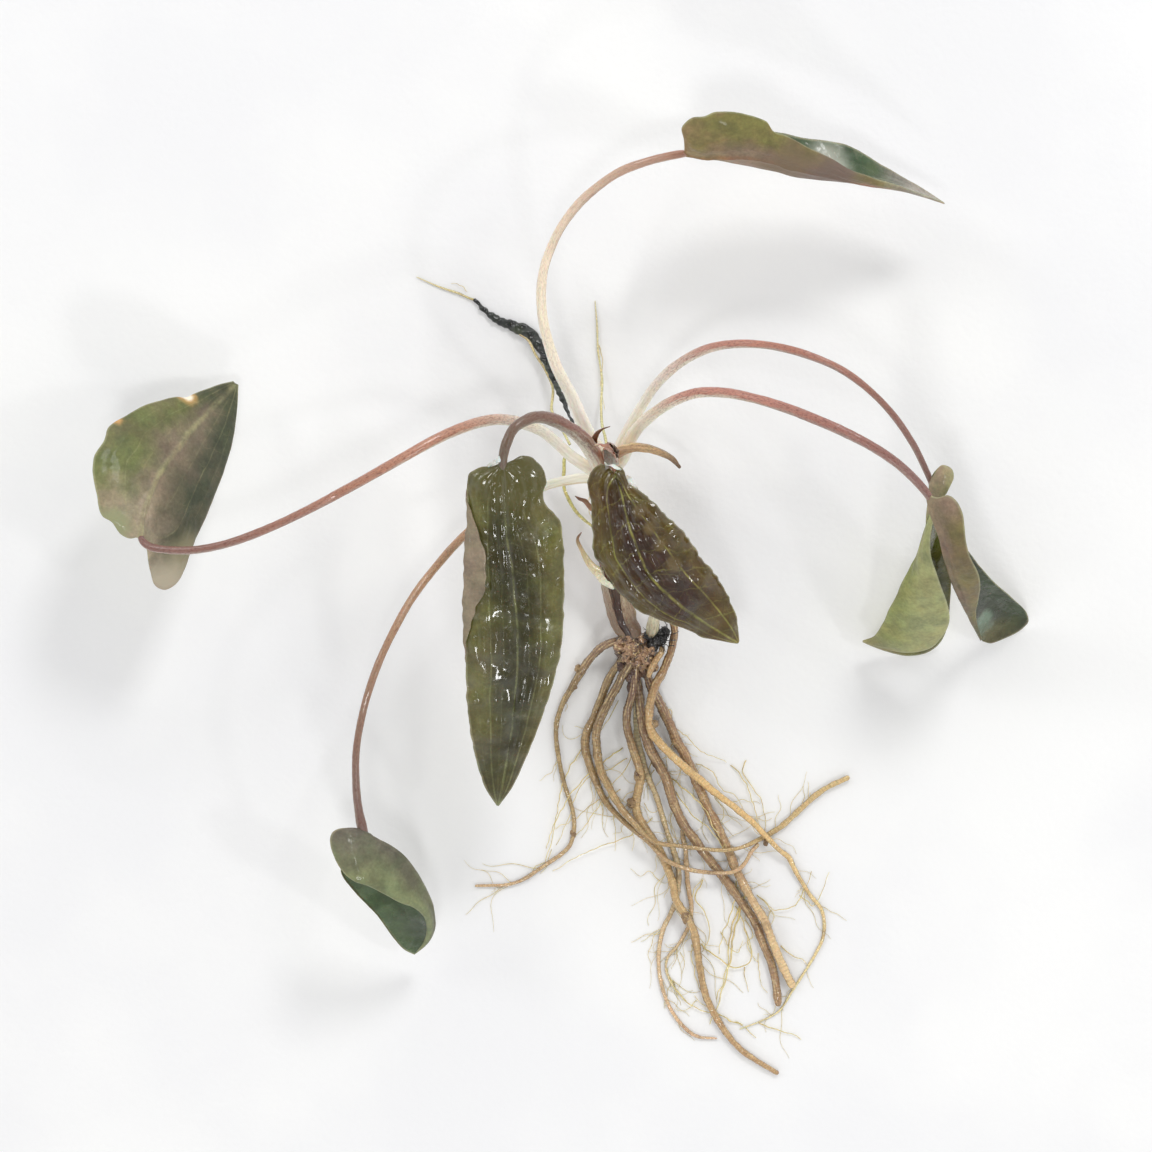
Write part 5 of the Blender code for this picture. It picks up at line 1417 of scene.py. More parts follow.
print("a scale leaf 9 mm long has", rows_for([(0, 0, 0), (9, 0, 0)], 0.25), "rows at a quarter of a millimetre")

# %% [markdown]
# The dead leaf, the stub and the scale leaves
#
# One old leaf has rotted to a slimy, black-green strap that lies on the surface. A withered stalk stub curves out
# of the crown to the right, and three small scale leaves stand off the stem with dry brown tips.

# %% Shape the small leaves
DEAD_LEAF = [
    (-18.4, 60.2, 0.5, 0.22), (-17.2, 59.1, 0.6, 0.4), (-15.4, 57.3, 0.7, 0.55), (-13.2, 55.9, 0.7, 0.9),
    (-10.6, 54.9, 0.8, 1.1), (-8, 53.8, 1, 1.35), (-6, 51.9, 1.4, 1.25), (-4.4, 49.5, 2, 1), (-3, 45.8, 3, 0.85),
    (-1.8, 42.8, 4, 0.7), (-0.4, 39.5, 5.2, 0.45), (1.6, 34.9, 7.2, 0.35), (3.6, 30.7, 9.2, 0.35),
    (6, 27.6, 10.4, 0.35),
]
OLD_STALK = [
    (9, 28.6, 18.4, 1.25), (11, 29.5, 20.4, 1.02), (13, 30, 20.8, 0.95), (15.9, 29.9, 20, 0.85),
    (18.5, 29.1, 18.6, 0.72), (20.9, 27.9, 17, 0.55), (22.3, 26.4, 15.8, 0.35),
]
SCALE_LEAVES = {
    "crown_scale_leaf": [
        (6.8, 27.4, 18.5, 0.95), (5.7, 29.6, 21, 0.9), (5.5, 31, 23, 0.8), (6, 32.4, 24.8, 0.62),
        (7, 33.3, 26.2, 0.42), (8.6, 33.9, 27.5, 0.12),
    ],
    "upper_scale_leaf": [
        (6.6, 17.4, 8.4, 0.7), (4.8, 18.6, 8.5, 0.6), (3.8, 19.8, 9, 0.5), (2.7, 20.2, 9.3, 0.32),
        (1.8, 20.8, 9.5, 0.1),
    ],
    "lower_scale_leaf": [
        (8.4, 4.4, 8.2, 1.5), (6.6, 5.6, 8.4, 1.35), (5, 7, 8.4, 1), (3.9, 8.7, 8.3, 0.7), (2.9, 10.5, 8.3, 0.5),
        (2.3, 12.3, 8.4, 0.32), (3.1, 13.6, 8.5, 0.1),
    ],
}
SCALE_SHEET = 0.3
DEAD_LEAF_SHEET = 0.35


def withered_swell(skin, along, angle, seed):
    """0.96 + seven deep grooves round a shrunken stalk, and unevenness."""
    return 0.96 + 0.08 * np.cos(7 * angle + 0.25 * along) + 0.05 * rough(skin, 2.2, seed)


def slime_material():
    """Rotten leaf: black-green, blotched and very wet."""
    material = new_material("rotten_leaf")
    place = place_of(material.node_tree)
    blotches = noise(place, 420.0, 5.0, 0.6)
    colour = blend(remap(blotches, 0.38, 0.62), tint(12, 15, 14), tint(30, 37, 29))
    colour = blend(remap(noise(place, 150.0), 0.55, 0.7), colour, tint(58, 66, 46))
    roughness = remap(blotches, 0.3, 0.7, 0.22, 0.5)
    return finish(material, colour, roughness, blotches, strength=0.8, depth=0.0004, others={"Coat Weight": 0.5})


dead_leaf = strip_piece(
    "dead_leaf", DEAD_LEAF, step=0.3, curl=0.8, half_columns=7, seed=7, crinkle=0.22, sheet=DEAD_LEAF_SHEET
)
dress(dead_leaf, slime_material(), "rotted_leaf", "dead_strap_leaf")

stub_look = streaked_material(
    "withered_stalk", (194, 160, 122), (214, 180, 130), (122, 94, 62), (232, 204, 156), 0.5, 0.7, 0.6, 0.0003
)
stub = tube_piece("withered_stub", OLD_STALK, 42, 0.3, withered_swell, 17, (0.1, -0.6, 0.5))
dress(stub, stub_look, "leaf_stalk", "old_stalk_stub")

scale_look = streaked_material(
    "scale_leaf", (192, 156, 118), (150, 114, 84), (104, 76, 56), (178, 154, 118), 0.4, 0.4, 0.5
)
pale_scale_look = streaked_material(
    "pale_scale_leaf", (226, 216, 178), (208, 194, 150), (122, 94, 68), (214, 202, 164), 0.6, 0.4, 0.5
)
for number, (name, points) in enumerate(SCALE_LEAVES.items()):
    piece = strip_piece(
        name + "_skin", points, step=0.25, curl=1.2, half_columns=7, seed=41 + number, crinkle=0.05, sheet=SCALE_SHEET
    )
    dress(piece, pale_scale_look if name == "lower_scale_leaf" else scale_look, "rhizome", name)
print("dead leaf, stub and", len(SCALE_LEAVES), "scale leaves are in place")

# %% [markdown]
# The stem and its torn sheaths
#
# The stem is a core with the torn sheaths of old leaves round it. A sheath is a piece of a slightly wider tube: it
# follows the stem from one share of its length to another, covers part of the way round, and ends in a ragged
# edge that stands off a little.

# %% Wrap the stem and the crown
STEM = [
    (13.2, -8.2, 5.2, 2.1), (12.6, -6, 6, 2.2), (11.6, -4.2, 6.3, 2.45), (10.3, 1.2, 6.8, 2.6), (9.5, 8.1, 7.8, 2.55),
    (8.7, 15, 9.2, 2.35), (8.1, 21, 10.8, 2.05), (7.7, 24.9, 12, 1.7), (7.8, 27.6, 13.4, 1.2),
]
PEG = [(16.8, -6.8, 7.2, 0.8), (17, -6, 7.9, 1.15), (17.2, -4.9, 8.6, 1.25), (17.4, -3.7, 8.9, 1.15)]
CROWN = [(8.2, 23, 10.5, 2.2), (7.9, 25.4, 13.6, 2.15), (8.1, 27.4, 17.5, 1.75), (8.3, 28.9, 21.5, 1.3)]
FRONT_RIGHT_STALK = STALKS["front_right"][:7]
SHEATH_SHEET = 0.16
SHEATH_ROUTE_SAMPLES = 240
SHEATH_ROWS = 70
SHEATH_COLUMNS = 25


def wrapped_strip(name, points, start, end, angle, wrap, lift, flare, tear, seed):
    """A sheet round part of a tube's route.

    Row r stands at the share start + (end - start) * r * torn(t), where torn varies from column to column.
    Column t stands at angle + wrap * t * (1 - 0.35 r cubed) round the route, at the tube's radius + lift + flare
    times r squared.
    """
    route = smooth_route(points, SHEATH_ROUTE_SAMPLES)
    side, up = route_frames(route)
    share = path_lengths(route) / path_lengths(route)[-1]
    r = np.linspace(0, 1, SHEATH_ROWS)[:, None]
    t = np.linspace(-1, 1, SHEATH_COLUMNS)[None, :]
    edge = rough(np.stack([2.5 * t, 0 * t, 0 * t], axis=-1), 0.9, seed)
    at = start + (end - start) * r * (1 + tear * edge - 0.6 * tear * t**2)
    turned = angle + wrap * t * (1 - 0.35 * r**3)
    centre, sideways, upwards = [
        np.stack([np.interp(at, share, column) for column in row.T], axis=-1) for row in (route[:, :3], side, up)
    ]
    out = unit(sideways * np.cos(turned)[..., None] + upwards * np.sin(turned)[..., None])
    radius = np.interp(at, share, route[:, 3]) + lift + flare * r**2
    middle = centre + radius[..., None] * out
    middle = middle + 0.1 * out * rough(middle, 1.8, seed + 1)[..., None]
    thin = (SHEATH_SHEET / 2 * (1 - 0.7 * t**6) * (1 - 0.7 * r**6))[..., None]
    along = (at - start) * path_lengths(route)[-1]
    turn = np.stack([1.5 * t + 0 * along, 0 * along, along], axis=-1)
    values = {"turn": turn, "course": r + 0 * along, "tinted_or_lit": 0.5 + 0.5 * out[..., 2]}
    return thick_piece(name, middle, out * thin, values)


stem_look = streaked_material(
    "stem_core", (104, 74, 58), (150, 120, 92), (206, 186, 150), (132, 104, 82), 0.4, 0.7, 0.4, 0.0003
)
dress(tube_piece("stem_core", STEM, 40, 0.3, stalk_swell, 211), stem_look, "rhizome", "stem")
peg_look = streaked_material("pale_peg", (146, 136, 108), (188, 182, 152), (214, 208, 180), (166, 156, 126))
dress(tube_piece("pale_peg", PEG, 42, 0.15, withered_swell, 223), peg_look, "rhizome", "offset_peg")

SHEATH_LOOKS = {
    "tan": ((128, 106, 84), (156, 134, 110), (196, 184, 160), (112, 92, 74), 0.5, 0.7, 0.4, 0.0003),
    "pinkish": ((112, 90, 70), (160, 138, 112), (192, 172, 142), (124, 102, 80), 0.5, 0.8, 0.5, 0.0004),
    "purple_brown": ((104, 76, 66), (128, 98, 82), (166, 140, 114), (90, 66, 56), 0.5, 0.7, 0.4, 0.0003),
    # This dark look paints the shade of a gap on the stem.
    "dark": ((62, 46, 38), (76, 58, 48), (104, 84, 64), (54, 40, 34), 0.5, 0.6, 0.4, 0.0003),
    "cream": ((226, 212, 180), (238, 230, 206), (242, 236, 216), (220, 206, 174), 0.5, 0.25, 0.5, 0.0002),
    "red_brown": ((206, 172, 144), (164, 118, 92), (126, 94, 72), (186, 148, 120), 0.45, 0.7, 0.5, 0.0003),
    "torn_grey": ((74, 70, 52), (88, 84, 66), (150, 150, 136), (112, 108, 92), 0.4, 0.9, 0.5, 0.0005),
    # Near white torn film, partly a painted highlight on the wet leaf notches.
    "white_film_highlight": ((206, 206, 196), (232, 234, 228), (220, 222, 214), (214, 214, 204), 0.5, 0.25, 0.7, 0.0004),
}
sheath_looks = {look: streaked_material("sheath_" + look, *given) for look, given in SHEATH_LOOKS.items()}
SHEATHS = [
    ("low_left", "tan", STEM, 0.06, 0.4, 2.6, 0.55, 0.2, 0.3, 0.12),
    # low_middle is a dark sheet laid in the gap between the tan and the pinkish strips, as painted shade of that gap.
    ("low_middle", "dark", STEM, 0.04, 0.38, 1.8, 0.5, 0.08, 0.1, 0.2),
    ("low_right", "pinkish", STEM, 0.04, 0.32, 0.95, 0.6, 0.25, 0.3, 0.15),
    ("outer_left", "purple_brown", STEM, 0.3, 0.66, 2.9, 0.7, 0.2, 0.35, 0.2),
    ("outer_right", "tan", STEM, 0.26, 0.62, 0.4, 0.9, 0.3, 0.2, 0.2),
    ("high_left", "cream", STEM, 0.5, 0.94, 2.5, 1.1, 0.25, 0.2, 0.1),
    ("high_right", "cream", STEM, 0.52, 0.97, 0.6, 1.0, 0.3, 0.2, 0.1),
    ("crown_back", "cream", CROWN, 0.0, 0.78, 0.2, 1.9, 0.35, 0.1, 0.1),
    ("crown_front", "red_brown", CROWN, 0.2, 0.98, 1.3, 1.5, 0.4, 0.1, 0.12),
    ("right_clasp", "red_brown", FRONT_RIGHT_STALK, 0.1, 0.78, 1.57, 2.2, 0.3, 0.45, 0.12),
]
# The three white films are torn tissue whose near white stands partly for a painted highlight at the leaf bases.
TORN_BITS = {
    "torn_film": [(7.6, 26.4, 41.4, 0.4), (8.6, 25.9, 42.2, 0.8), (9.6, 25.5, 42.3, 0.8), (10.6, 25.3, 41.8, 0.25)],
    "shoulder_film": [
        (11.6, 24.2, 40.9, 0.3), (12.2, 23.3, 41.1, 0.6), (13, 22.3, 41.2, 0.55), (13.9, 21.5, 40.8, 0.12),
    ],
    "notch_film": [
        (-14.7, 25.9, 43.7, 0.2), (-13.6, 26.6, 44.5, 0.5), (-12.7, 27.2, 45, 0.5), (-11.7, 28.2, 45.4, 0.2),
    ],
    "stalk_shreds": [(7.4, 29, 40.7, 0.2), (7.9, 28, 41.2, 0.7), (8.4, 27, 41.6, 1.2), (9, 25.8, 41.9, 1.5)],
    "crown_flap": [(5.8, 30, 38, 0.4), (6.9, 30, 39.6, 0.9), (8.3, 29.4, 40.4, 1.1), (9.6, 28.2, 40.4, 0.5)],
    "torn_tissue": [(5.9, 5.8, 9.6, 0.25), (6.9, 4.6, 9.9, 0.6), (8, 3.5, 10.1, 0.7), (9.6, 2.5, 10, 0.3)],
}
TORN_LOOKS = {
    "torn_film": "white_film_highlight", "shoulder_film": "white_film_highlight", "notch_film": "white_film_highlight",
    "stalk_shreds": "torn_grey", "crown_flap": "red_brown", "torn_tissue": "cream",
}
TORN_SHEET = 0.14

for number, (name, look, points, *shape) in enumerate(SHEATHS):
    dress(wrapped_strip("sheath_" + name, points, *shape, 307 + number), sheath_looks[look], "rhizome")
for number, (name, points) in enumerate(TORN_BITS.items()):
    piece = strip_piece(
        name, points, step=0.15, curl=0.5, half_columns=12, seed=331 + number, crinkle=0.22, sheet=TORN_SHEET
    )
    dress(piece, sheath_looks[TORN_LOOKS[name]], "rhizome")
print("sheaths:", len(SHEATHS), "and torn bits:", len(TORN_BITS))

# %% [markdown]
# The rhizome
#
# The rhizome is a knot of old tissue: lumps grown into each other, rough as bark, tan and pink, with bright golden
# specks that are partly grain and partly painted glints, pits darkened with painted shade, and nearly black where
# a leaf base has rotted. Each lump is a ball pushed in and out by random heights, and the lowest stays flat on the
# surface.

# %% Knot the rhizome together
LUMPS = [
    ((13.9, -10.5, 3.7), (3.7, 3.6, 3.9), 1.0), ((13.3, -9.4, 6.6), (1.9, 1.6, 1.5), 0.5),
    ((16, -11, 6.5), (1.7, 1.8, 1.4), 0.7), ((10.6, -9, 5.4), (1.3, 1.7, 1.3), 0.5),
    ((12.6, -7, 6.5), (2.0, 1.6, 1.6), 0.6), ((17.3, -13, 5.3), (1.2, 1.3, 1.2), 0.5),
    ((14.8, -7.8, 6.4), (1.5, 1.5, 1.5), 0.7), ((15.4, -9.6, 7.2), (0.9, 0.8, 0.8), 1.4),
    ((12, -10.9, 7.1), (0.8, 0.9, 0.7), 1.4), ((14.1, -12.3, 7), (0.9, 0.7, 0.7), 1.4),
    ((16.9, -9.9, 7.4), (0.7, 0.9, 0.8), 1.4), ((11, -7.8, 6.9), (0.7, 0.8, 0.7), 1.2),
]
ROOT_COLLARS = [
    ((13.3, -14.4, 4.9), (1.9, 2.1, 1.4), 0.5), ((11.4, -12.9, 5.2), (1.6, 1.5, 1.2), 0.5),
    ((13.2, -17.2, 4.7), (1.1, 1.7, 1.0), 0.3), ((15.6, -14, 4.5), (1.3, 1.4, 1.2), 0.4),
]
ROTTED_LUMPS = [
    ((18.4, -7.6, 6.7), (1.7, 1.6, 1.3), 1.0), ((17.2, -8.9, 6.6), (1.3, 1.2, 1.1), 0.8),
    ((19.6, -6.2, 6.6), (1.0, 1.2, 0.9), 0.8), ((16.4, -6.9, 6.9), (1.1, 1.0, 1.0), 0.8),
]
ROOT_KNOBS = [
    ((2.4, -13.6, 1.5), (0.62, 0.85, 0.7), 1.4), ((1.7, -17.2, 0.9), (0.6, 0.5, 0.6), 1.4),
    ((13.2, -40.2, 1.7), (0.9, 1.1, 0.9), 1.6), ((14.4, -35.2, 2.6), (0.9, 1.2, 0.9), 1.2),
    ((39.9, -48.4, 0.8), (0.5, 0.7, 0.5), 1.2), ((1.4, -46.6, 0.6), (0.62, 0.9, 0.5), 1.2),
    ((23.8, -63, 2.9), (0.9, 1.3, 0.8), 1.0), ((17.4, -24.6, 4.7), (1.0, 0.8, 0.9), 1.0),
]
LUMP_ROWS = 40
LUMP_COLUMNS = 60
POLE_GAP = 0.02
KNOT_LOOKS = {
    "knotted": ((88, 62, 46), (186, 146, 112), (30, 21, 17), (236, 208, 150), 0.8, 0.95),
    "collar": ((84, 58, 50), (112, 82, 62), (44, 30, 28), (150, 124, 90), 0.3, 0.6),
    "rotted": ((34, 32, 32), (58, 56, 54), (14, 14, 16), (128, 126, 120), 0.3, 0.9),
    "knob": ((150, 120, 86), (184, 152, 108), (96, 68, 48), (214, 184, 130), 0.3, 0.6),
}
KNOTS = [
    ("rhizome_knot", "knotted", LUMPS, 401, "rhizome", "rhizome"),
    ("root_collars", "collar", ROOT_COLLARS, 411, "rhizome"),
    ("rotted_base", "rotted", ROTTED_LUMPS, 421, "rotted_leaf", "rotted_leaf_base"),
    ("root_knobs", "knob", ROOT_KNOBS, 431, "root"),
]


def lumps_piece(name, lumps, seed):
    """Balls grown into each other.

    A point is centre + size * way * (1 + depth * (0.12 * coarse + 0.08 * fine random heights)), never below 0.
    """
    polar = np.linspace(POLE_GAP, np.pi - POLE_GAP, LUMP_ROWS)[:, None]
    turn = np.linspace(0, 2 * np.pi, LUMP_COLUMNS, endpoint=False)[None, :]
    way = np.stack([np.sin(polar) * np.cos(turn), np.sin(polar) * np.sin(turn), np.cos(polar) + 0 * turn], axis=-1)
    centres, sizes, depth = [np.array(column)[:, None, None] for column in zip(*lumps)]
    skin = centres + sizes * way
    heights = 1 + depth * (0.12 * rough(skin, 1.9, seed) + 0.08 * rough(skin, 0.7, seed + 1))
    grids = centres + sizes * way * heights[..., None]
    grids[..., 2] = np.maximum(grids[..., 2], 0)
    return closed_piece(name, grids, {})


def knotted_material(name, ground, second, dark, grain, grain_share, coat):
    """Old tissue: two mottled colours, pits darkened as painted shade, specks partly grain, partly painted glints."""
    material = new_material(name)
    place = place_of(material.node_tree)
    pits = noise(place, 760.0, 4.0, 0.65)
    colour = blend(remap(noise(place, 300.0, 5.0, 0.7), 0.44, 0.58), tint(*ground), tint(*second))
    # Painted shade: the pits, which sink into the bump, are blended towards the dark colour.
    colour = blend(remap(pits, 0.52, 0.66), colour, tint(*dark))
    # Partly painted glints: bright specks, raised in the bump, in the grain colour.
    grains_and_glints = noise(place, 1900.0, 2.0)
    colour = blend(remap(grains_and_glints, 0.62 - 0.1 * grain_share, 0.72), colour, tint(*grain))
    roughness = remap(pits, 0.35, 0.65, 0.3, 0.6)
    wetness = {"Coat Weight": coat, "Coat Roughness": 0.1}
    return finish(material, colour, roughness, grains_and_glints - pits * 1.5, strength=1.0, depth=0.0008, others=wetness)


knot_looks = {look: knotted_material(look, *given) for look, given in KNOT_LOOKS.items()}
for name, look, lumps, seed, *places in KNOTS:
    dress(lumps_piece(name, lumps, seed), knot_looks[look], *places)
    print(name + ":", len(lumps), "lumps")

# %% [markdown]
# Hair roots
#
# Hair-thin side roots lie round the root mass like a loose net. The long ones are listed one by one. Many short ones
# grow from the main roots at drawn places, leave them sideways and sink to the surface. Each is a thin tube, of
# five sides where it was placed and of three where it was drawn, and all of one kind form one mesh.

# %% Spread the hair roots
HAIRS = [
    (0.11, 1.2, [(11.3, -29.4), (8.3, -31.7), (4.1, -35), (1.5, -38.1), (-1.6, -43.1), (-3.5, -49.9),
      (-4.4, -52.2)]),
    (0.1, 0.5, [(3.2, -29.7), (0.4, -33.9), (-1, -38), (-2.1, -43.7), (-4.1, -49.6)]),
    (0.08, 0.6, [(12.2, -31.7), (8.3, -33.6), (4.8, -35.2), (2.2, -38.5), (0.2, -44.2), (-2, -48.9)]),
    (0.08, 0.4, [(9.2, -39), (6.3, -40), (2.4, -43.1), (-2.1, -45.6)]),
    (0.07, 1.5, [(10.5, -19.9), (8.8, -23.3), (7.4, -25.5), (5.2, -28.9)]),
    (0.06, 0.2, [(9.4, -42.2), (9.9, -45.9), (9.7, -49.9)]),
    (0.09, 0.6, [(17.2, -43.5), (12.8, -47), (6.8, -49), (1.8, -51.5), (-2.8, -54.2)]),
    (0.08, 0.4, [(10.8, -37.9), (7.6, -39.9), (3.8, -45), (0.8, -48.2), (-1.2, -51.5)]),
    (0.08, 1.2, [(21.4, -24.9), (23.4, -26.6), (27, -30), (32.1, -32.2)]),
    (0.09, 0.3, [(35.8, -31.9), (35.2, -34.2), (36.6, -36.6), (38.6, -39), (39.6, -42.2), (40, -45.9)]),
    (0.09, 0.4, [(32.8, -33), (34.1, -33.9), (36.3, -37.5), (37.4, -40.6), (38.4, -44.2), (39.6, -46.6)]),
    (0.13, 2.2, [(21.2, -35.6), (24.3, -38.1), (27.9, -41.8), (29.3, -45.1), (31.3, -47.9), (33.2, -51)]),
    (0.11, 2.4, [(21.7, -38.1), (25.7, -42.9), (28.2, -45.1), (31, -48.8), (33.8, -52.2)]),
    (0.08, 1, [(26.2, -32.4), (29.3, -34.2), (31, -37.2), (34.1, -39.2), (35.6, -42.2)]),
    (0.07, 0.6, [(30.1, -39), (31.3, -41.8), (31, -45.1), (32.6, -48.2)]),
    (0.06, 0.8, [(15.6, -40.4), (16.8, -42.2), (18.8, -41), (18.1, -39)]),
    (0.09, 0.5, [(19.8, -22.5), (20.6, -21.7), (21.2, -22.3), (20.8, -23.1), (20.2, -22.9)]),
    (0.06, 0.3, [(13, -45), (13.6, -47.5), (13.3, -50)]),
    (0.12, 0.9, [(33.9, -55.9), (33.9, -58.6), (32.4, -63.9), (31.2, -67.5), (30.6, -70.4)]),
    (0.16, 0.6, [(35.8, -58.2), (35, -61.6), (33.6, -66.2), (33, -71), (32.1, -74.8), (31.2, -78),
      (30.3, -80.9), (28.8, -84.7)]),
    (0.13, 0.4, [(35.2, -59), (34, -62.8), (32.6, -67.5), (32.4, -72.2), (31.2, -76.7), (30, -79.9)]),
    (0.12, 0.5, [(27.1, -68.6), (30, -71), (32.4, -72.7), (35.3, -73.3), (37.1, -71), (36.8, -68),
      (35.6, -64.5), (35.9, -62.2)]),
    (0.08, 0.2, [(35.6, -73.3), (35.9, -75.7), (36.5, -78)]),
    (0.07, 0.2, [(38.3, -70.4), (38.4, -73.5), (38.8, -76.2), (40.3, -78.6)]),
    (0.09, 0.6, [(38.3, -59), (40.3, -60.7), (41.5, -63), (41.2, -64.5), (40, -64.8)]),
    (0.09, 0.5, [(47.4, -56.6), (47.1, -59.2), (45.3, -61.2), (42.1, -61.8), (38.8, -59.5)]),
    (0.1, 0.3, [(43, -68.9), (45.3, -71), (47.1, -71.5), (48.5, -72.7)]),
    (0.11, 0.6, [(27.4, -55.7), (25.9, -59.5), (27.7, -62.2), (28.6, -66.2), (28.3, -68), (27.2, -70.2)]),
    (0.1, 0.3, [(20.1, -73.9), (21.5, -77.1), (24.5, -80.4), (27.4, -81.8), (31.2, -83), (35.2, -85)]),
    (0.08, 0.3, [(25.1, -68.8), (25.4, -73.3), (27.1, -78), (28.8, -80.7)]),
    (0.1, 0.2, [(38.6, -84.6), (42.1, -85.7), (44.8, -86.5), (47, -87.7)]),
    (0.09, 0.2, [(35.8, -85), (37.1, -86.5), (38.2, -87.5)]),
    (0.09, 0.3, [(35.3, -85), (31.2, -83), (27.7, -80.9), (25.6, -79)]),
    (0.1, 0.5, [(24.4, -64.8), (24.8, -61.6), (25.9, -57.5), (27.4, -55.4)]),
    (0.09, 0.5, [(33.9, -61), (35.3, -63.9), (35.9, -66.2), (37.1, -70.4), (38.2, -72.2)]),
    (0.08, 0.4, [(30.9, -66.2), (32.4, -68.9), (34.2, -70.4), (35.3, -68)]),
    (0.06, 0.2, [(22.7, -70.4), (23.6, -72), (23, -75)]),
    (0.07, 0.3, [(40.8, -61.8), (40.4, -63.5), (39.8, -64.8), (41.2, -66.7)]),
    (0.08, 0.4, [(46.8, -58.9), (49.2, -61), (50.8, -58.9), (52.6, -54.2)]),
    (0.06, 0.3, [(49.2, -54.2), (48, -57), (46.2, -58.2)]),
    (0.07, 0.3, [(35.8, -63.8), (37.2, -66.7), (36.2, -69), (37.8, -71.9)]),
    (0.06, 0.2, [(18.8, -55.9), (16.8, -54.2), (14.8, -55), (12.8, -53.5)]),
    (0.06, 0.2, [(26, -79.9), (23.6, -81.9), (22, -81.5)]),
    (0.09, 0.6, [(14.4, -28.3), (12.4, -32.6), (9.2, -37), (8, -41)]),
    (0.07, 0.4, [(17.8, -33.9), (14.8, -37), (11.2, -39.9), (10.4, -43.5)]),
    (0.06, 0.3, [(-4.4, -52.2), (-6, -53), (-7.6, -55.5)]),
    (0.06, 0.3, [(-3, -49.9), (-4, -53.5), (-5.2, -54.6)]),
    (0.08, 0.8, [(4, 26.2), (5.4, 22.9), (4.4, 19.2), (5.6, 15.4)]),
    (0.06, 0.3, [(-19.8, 61.8), (-21, 63), (-22.8, 63.2)]),
    (0.06, 0.3, [(6.4, 51.2), (7.4, 47.8), (7, 43.2), (7.6, 38.2)]),
]
HAIR_ROWS = 44
HAIR_SIDES = 5
SHORT_HAIR_ROWS = 16
SHORT_HAIR_SIDES = 3
SURFACE_GAP = 0.1
HAIR_FLOOR = 0.01
ROUTE_SAMPLES = 400
TURN_LENGTH = 5
SINKING_LENGTH = 1.5


def hair_piece(name, routes, sides):
    """Thin tubes along many routes at once: centre + radius * (side * cos(angle) + up * sin(angle)).

    Routes are hairs by rows by x, y, height and radius. Side is ahead crossed with the vertical.
    """
    ahead = unit(np.gradient(routes[..., :3], axis=1))
    side = unit(np.cross(ahead, [0.0, 0.0, 1.0]))
    up = np.cross(side, ahead)
    angle = np.linspace(0, 2 * np.pi, sides, endpoint=False)[None, None, :, None]
    ring = side[:, :, None] * np.cos(angle) + up[:, :, None] * np.sin(angle)
    grids = routes[:, :, None, :3] + routes[:, :, None, 3:] * ring
    grids[..., 2] = np.maximum(grids[..., 2], HAIR_FLOOR)
    share = np.linspace(0, 1, routes.shape[1])[None, :, None] + 0 * grids[..., 0]
    around = [np.cos(angle[..., 0]) + 0 * share, np.sin(angle[..., 0]) + 0 * share, TURN_LENGTH * share]
    # Every point gets the full value of the lit side, so the root tissue paints the whole hair as bright as a root's
    # lit top.
    return closed_piece(name, grids, {"turn": np.stack(around, axis=-1), "course": share, "tinted_or_lit": 1 + 0 * share})


def placed_hairs():
    """The long hairs: smooth routes whose height is the gap + radius + lift * sin(pi * share) + a slow waver."""
    routes = np.zeros((len(HAIRS), HAIR_ROWS, 4))
    share = np.linspace(0, 1, HAIR_ROWS)
    for number, (radius, lift, points) in enumerate(HAIRS):
        flat = smooth_route([(x, y, 0) for x, y in points], HAIR_ROWS)
        waver = np.stack([rough(flat, 2.5, 501 + number), rough(flat, 2.5, 601 + number)], axis=-1)
        routes[number, :, :2] = flat[:, :2] + 0.16 * waver
        routes[number, :, 2] = SURFACE_GAP + radius + lift * np.sin(np.pi * share) ** 0.7
        routes[number, :, 3] = 1.3 * radius * (1 - 0.45 * share)
    return routes


def walked(start, heading, step, height, radius):
    """Routes from x and y of their start on by step along each heading, at the given heights and radii."""
    x = start[:, :1] + np.cumsum(np.cos(heading), axis=1) * step
    y = start[:, 1:2] + np.cumsum(np.sin(heading), axis=1) * step
    return np.stack([x, y, height, radius], axis=-1)


def side_hairs(seed):
    """Short hairs from the main roots: heading + bend * share + a drawn wave, added up step by step.

    Each starts on a root's middle line, turns away by 9 to 50 degrees, and sinks towards the surface by
    exp(-length / 1.5 mm).
    """
    random = np.random.default_rng(seed)
    starts = []
    for name, amount, first, last in SIDE_HAIRS:
        route = smooth_route(ROOTS[name], ROUTE_SAMPLES)
        picked = random.uniform(first, last, amount)
        slope = np.gradient(route[:, :2], axis=0)
        route[:, 3] = np.unwrap(np.arctan2(slope[:, 1], slope[:, 0]))
        course = np.linspace(0, 1, ROUTE_SAMPLES)
        starts.append(np.column_stack([np.interp(picked, course, column) for column in route.T]))
    starts = np.vstack(starts)
    count = len(starts)

    def drawn(low, high):
        """One number for each hair, drawn evenly between the two."""
        return random.uniform(low, high, count)[:, None]

    share = np.linspace(0, 1, SHORT_HAIR_ROWS)[None, :]
    away = random.choice([-1, 1], count)[:, None] * drawn(0.15, 0.9)
    bend = random.normal(0, 0.8, count)[:, None]
    wave = drawn(0.15, 0.5) * np.sin(2 * np.pi * (drawn(0.8, 2.2) * share + drawn(0, 1)))
    length = drawn(3.0, 11.0) * drawn(0.5, 1.3)
    radius = drawn(0.05, 0.1) * (1 - 0.5 * share)
    height = SURFACE_GAP + radius + (starts[:, 2:3] - SURFACE_GAP) * np.exp(-length * share / SINKING_LENGTH)
    heading = starts[:, 3:] + away + bend * share + wave
    return walked(starts, heading, length / (SHORT_HAIR_ROWS - 1), height, radius)


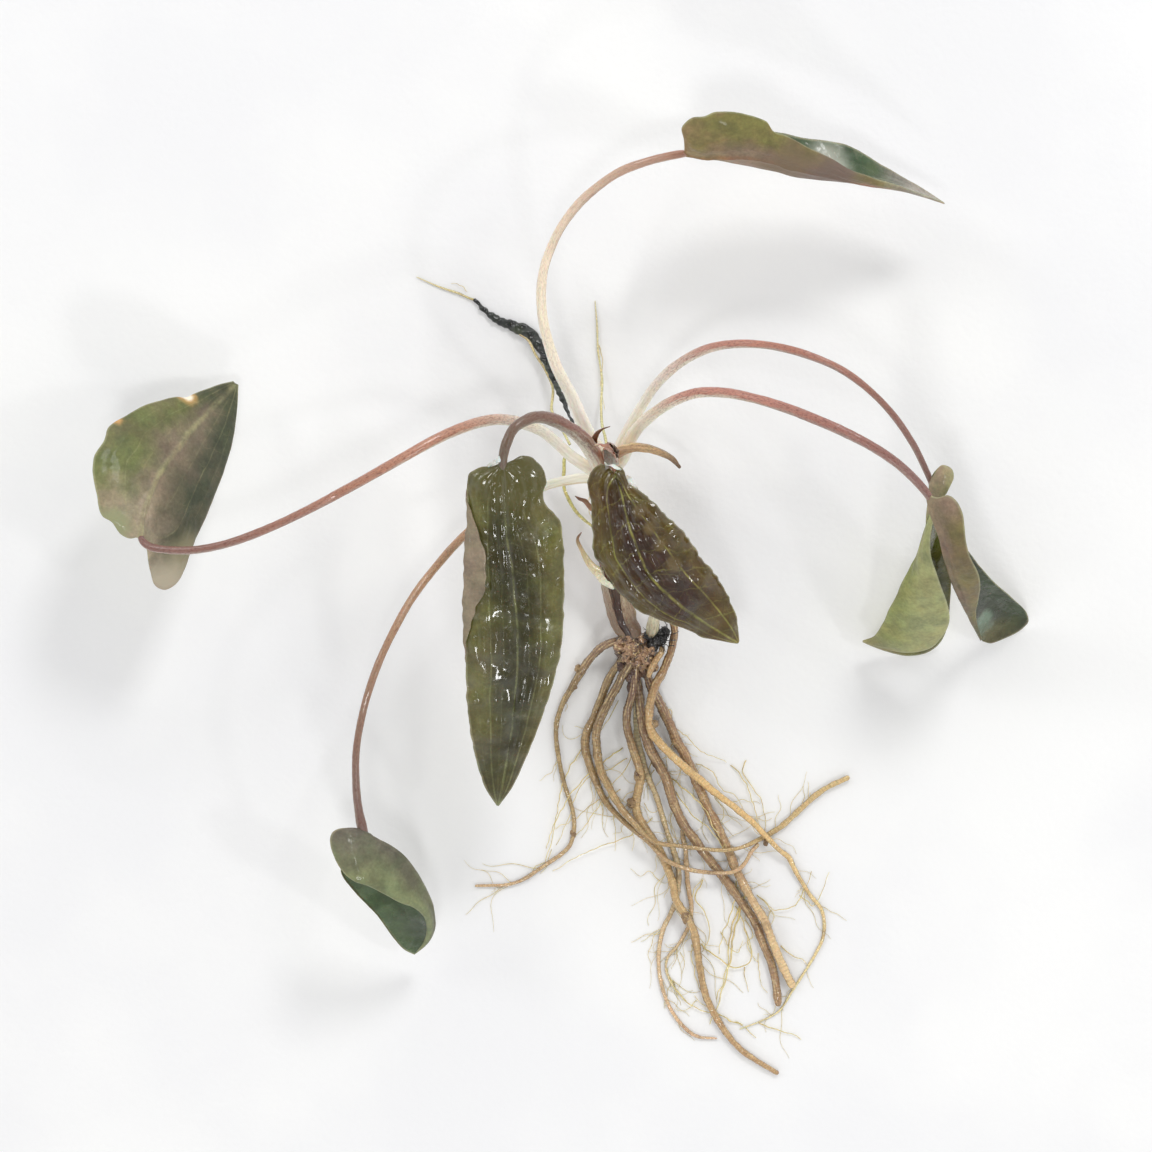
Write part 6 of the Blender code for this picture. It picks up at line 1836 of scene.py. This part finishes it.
SIDE_HAIRS = [
    ("left_root", 10, 0.2, 0.95), ("outer_left_root", 14, 0.2, 0.6), ("inner_left_root", 18, 0.2, 0.9),
    ("middle_root", 24, 0.2, 0.75), ("long_right_root", 30, 0.2, 0.8), ("right_root", 30, 0.2, 0.75),
    ("golden_root", 20, 0.25, 0.97), ("pale_root", 18, 0.3, 0.97), ("branch_root", 14, 0.2, 0.95),
]
hair_look = root_material("hair_root", (222, 202, 132), (232, 212, 146), (240, 224, 168), 0.6)
dress(hair_piece("long_hairs", placed_hairs(), HAIR_SIDES), hair_look, "fine_root")
dress(hair_piece("side_hairs", side_hairs(701), SHORT_HAIR_SIDES), hair_look, "fine_root")
print("hair roots:", len(HAIRS), "placed and", sum(entry[1] for entry in SIDE_HAIRS), "drawn")

# %% [markdown]
# Rotted fibres
#
# What is left of the rotted leaf base is a tuft of black, wet strands. They are drawn like the short hair roots,
# from places on its lumps, and sag over the rhizome.

# %% Add the rotted fibres
FIBRE_COUNT = 60
FIBRE_MIDDLE = (18.6, -6.9)
FIBRE_SPREAD = (1.3, 1.1)


def rotted_fibres(seed):
    """Strands whose heading is a drawn one + bend * share and whose height is an arch of sin(pi * share)."""
    random = np.random.default_rng(seed)

    def drawn(low, high):
        """One number for each strand, drawn evenly between the two."""
        return random.uniform(low, high, FIBRE_COUNT)[:, None]

    share = np.linspace(0, 1, SHORT_HAIR_ROWS)[None, :]
    start = FIBRE_MIDDLE + random.normal(0, 1, (FIBRE_COUNT, 2)) * FIBRE_SPREAD
    heading = drawn(-np.pi, np.pi) + random.normal(0, 1.6, FIBRE_COUNT)[:, None] * share
    step = drawn(1.0, 2.6) / (SHORT_HAIR_ROWS - 1)
    height = drawn(7.2, 8.1) + 0.5 * np.sin(np.pi * share) - 1.4 * share**2
    return walked(start, heading, step, height, drawn(0.1, 0.22) * (1 - 0.6 * share))


fibres = hair_piece("rotted_fibres", rotted_fibres(811), SHORT_HAIR_SIDES)
dress(fibres, knot_looks["rotted"], "rotted_leaf")
print("fibres:", FIBRE_COUNT)
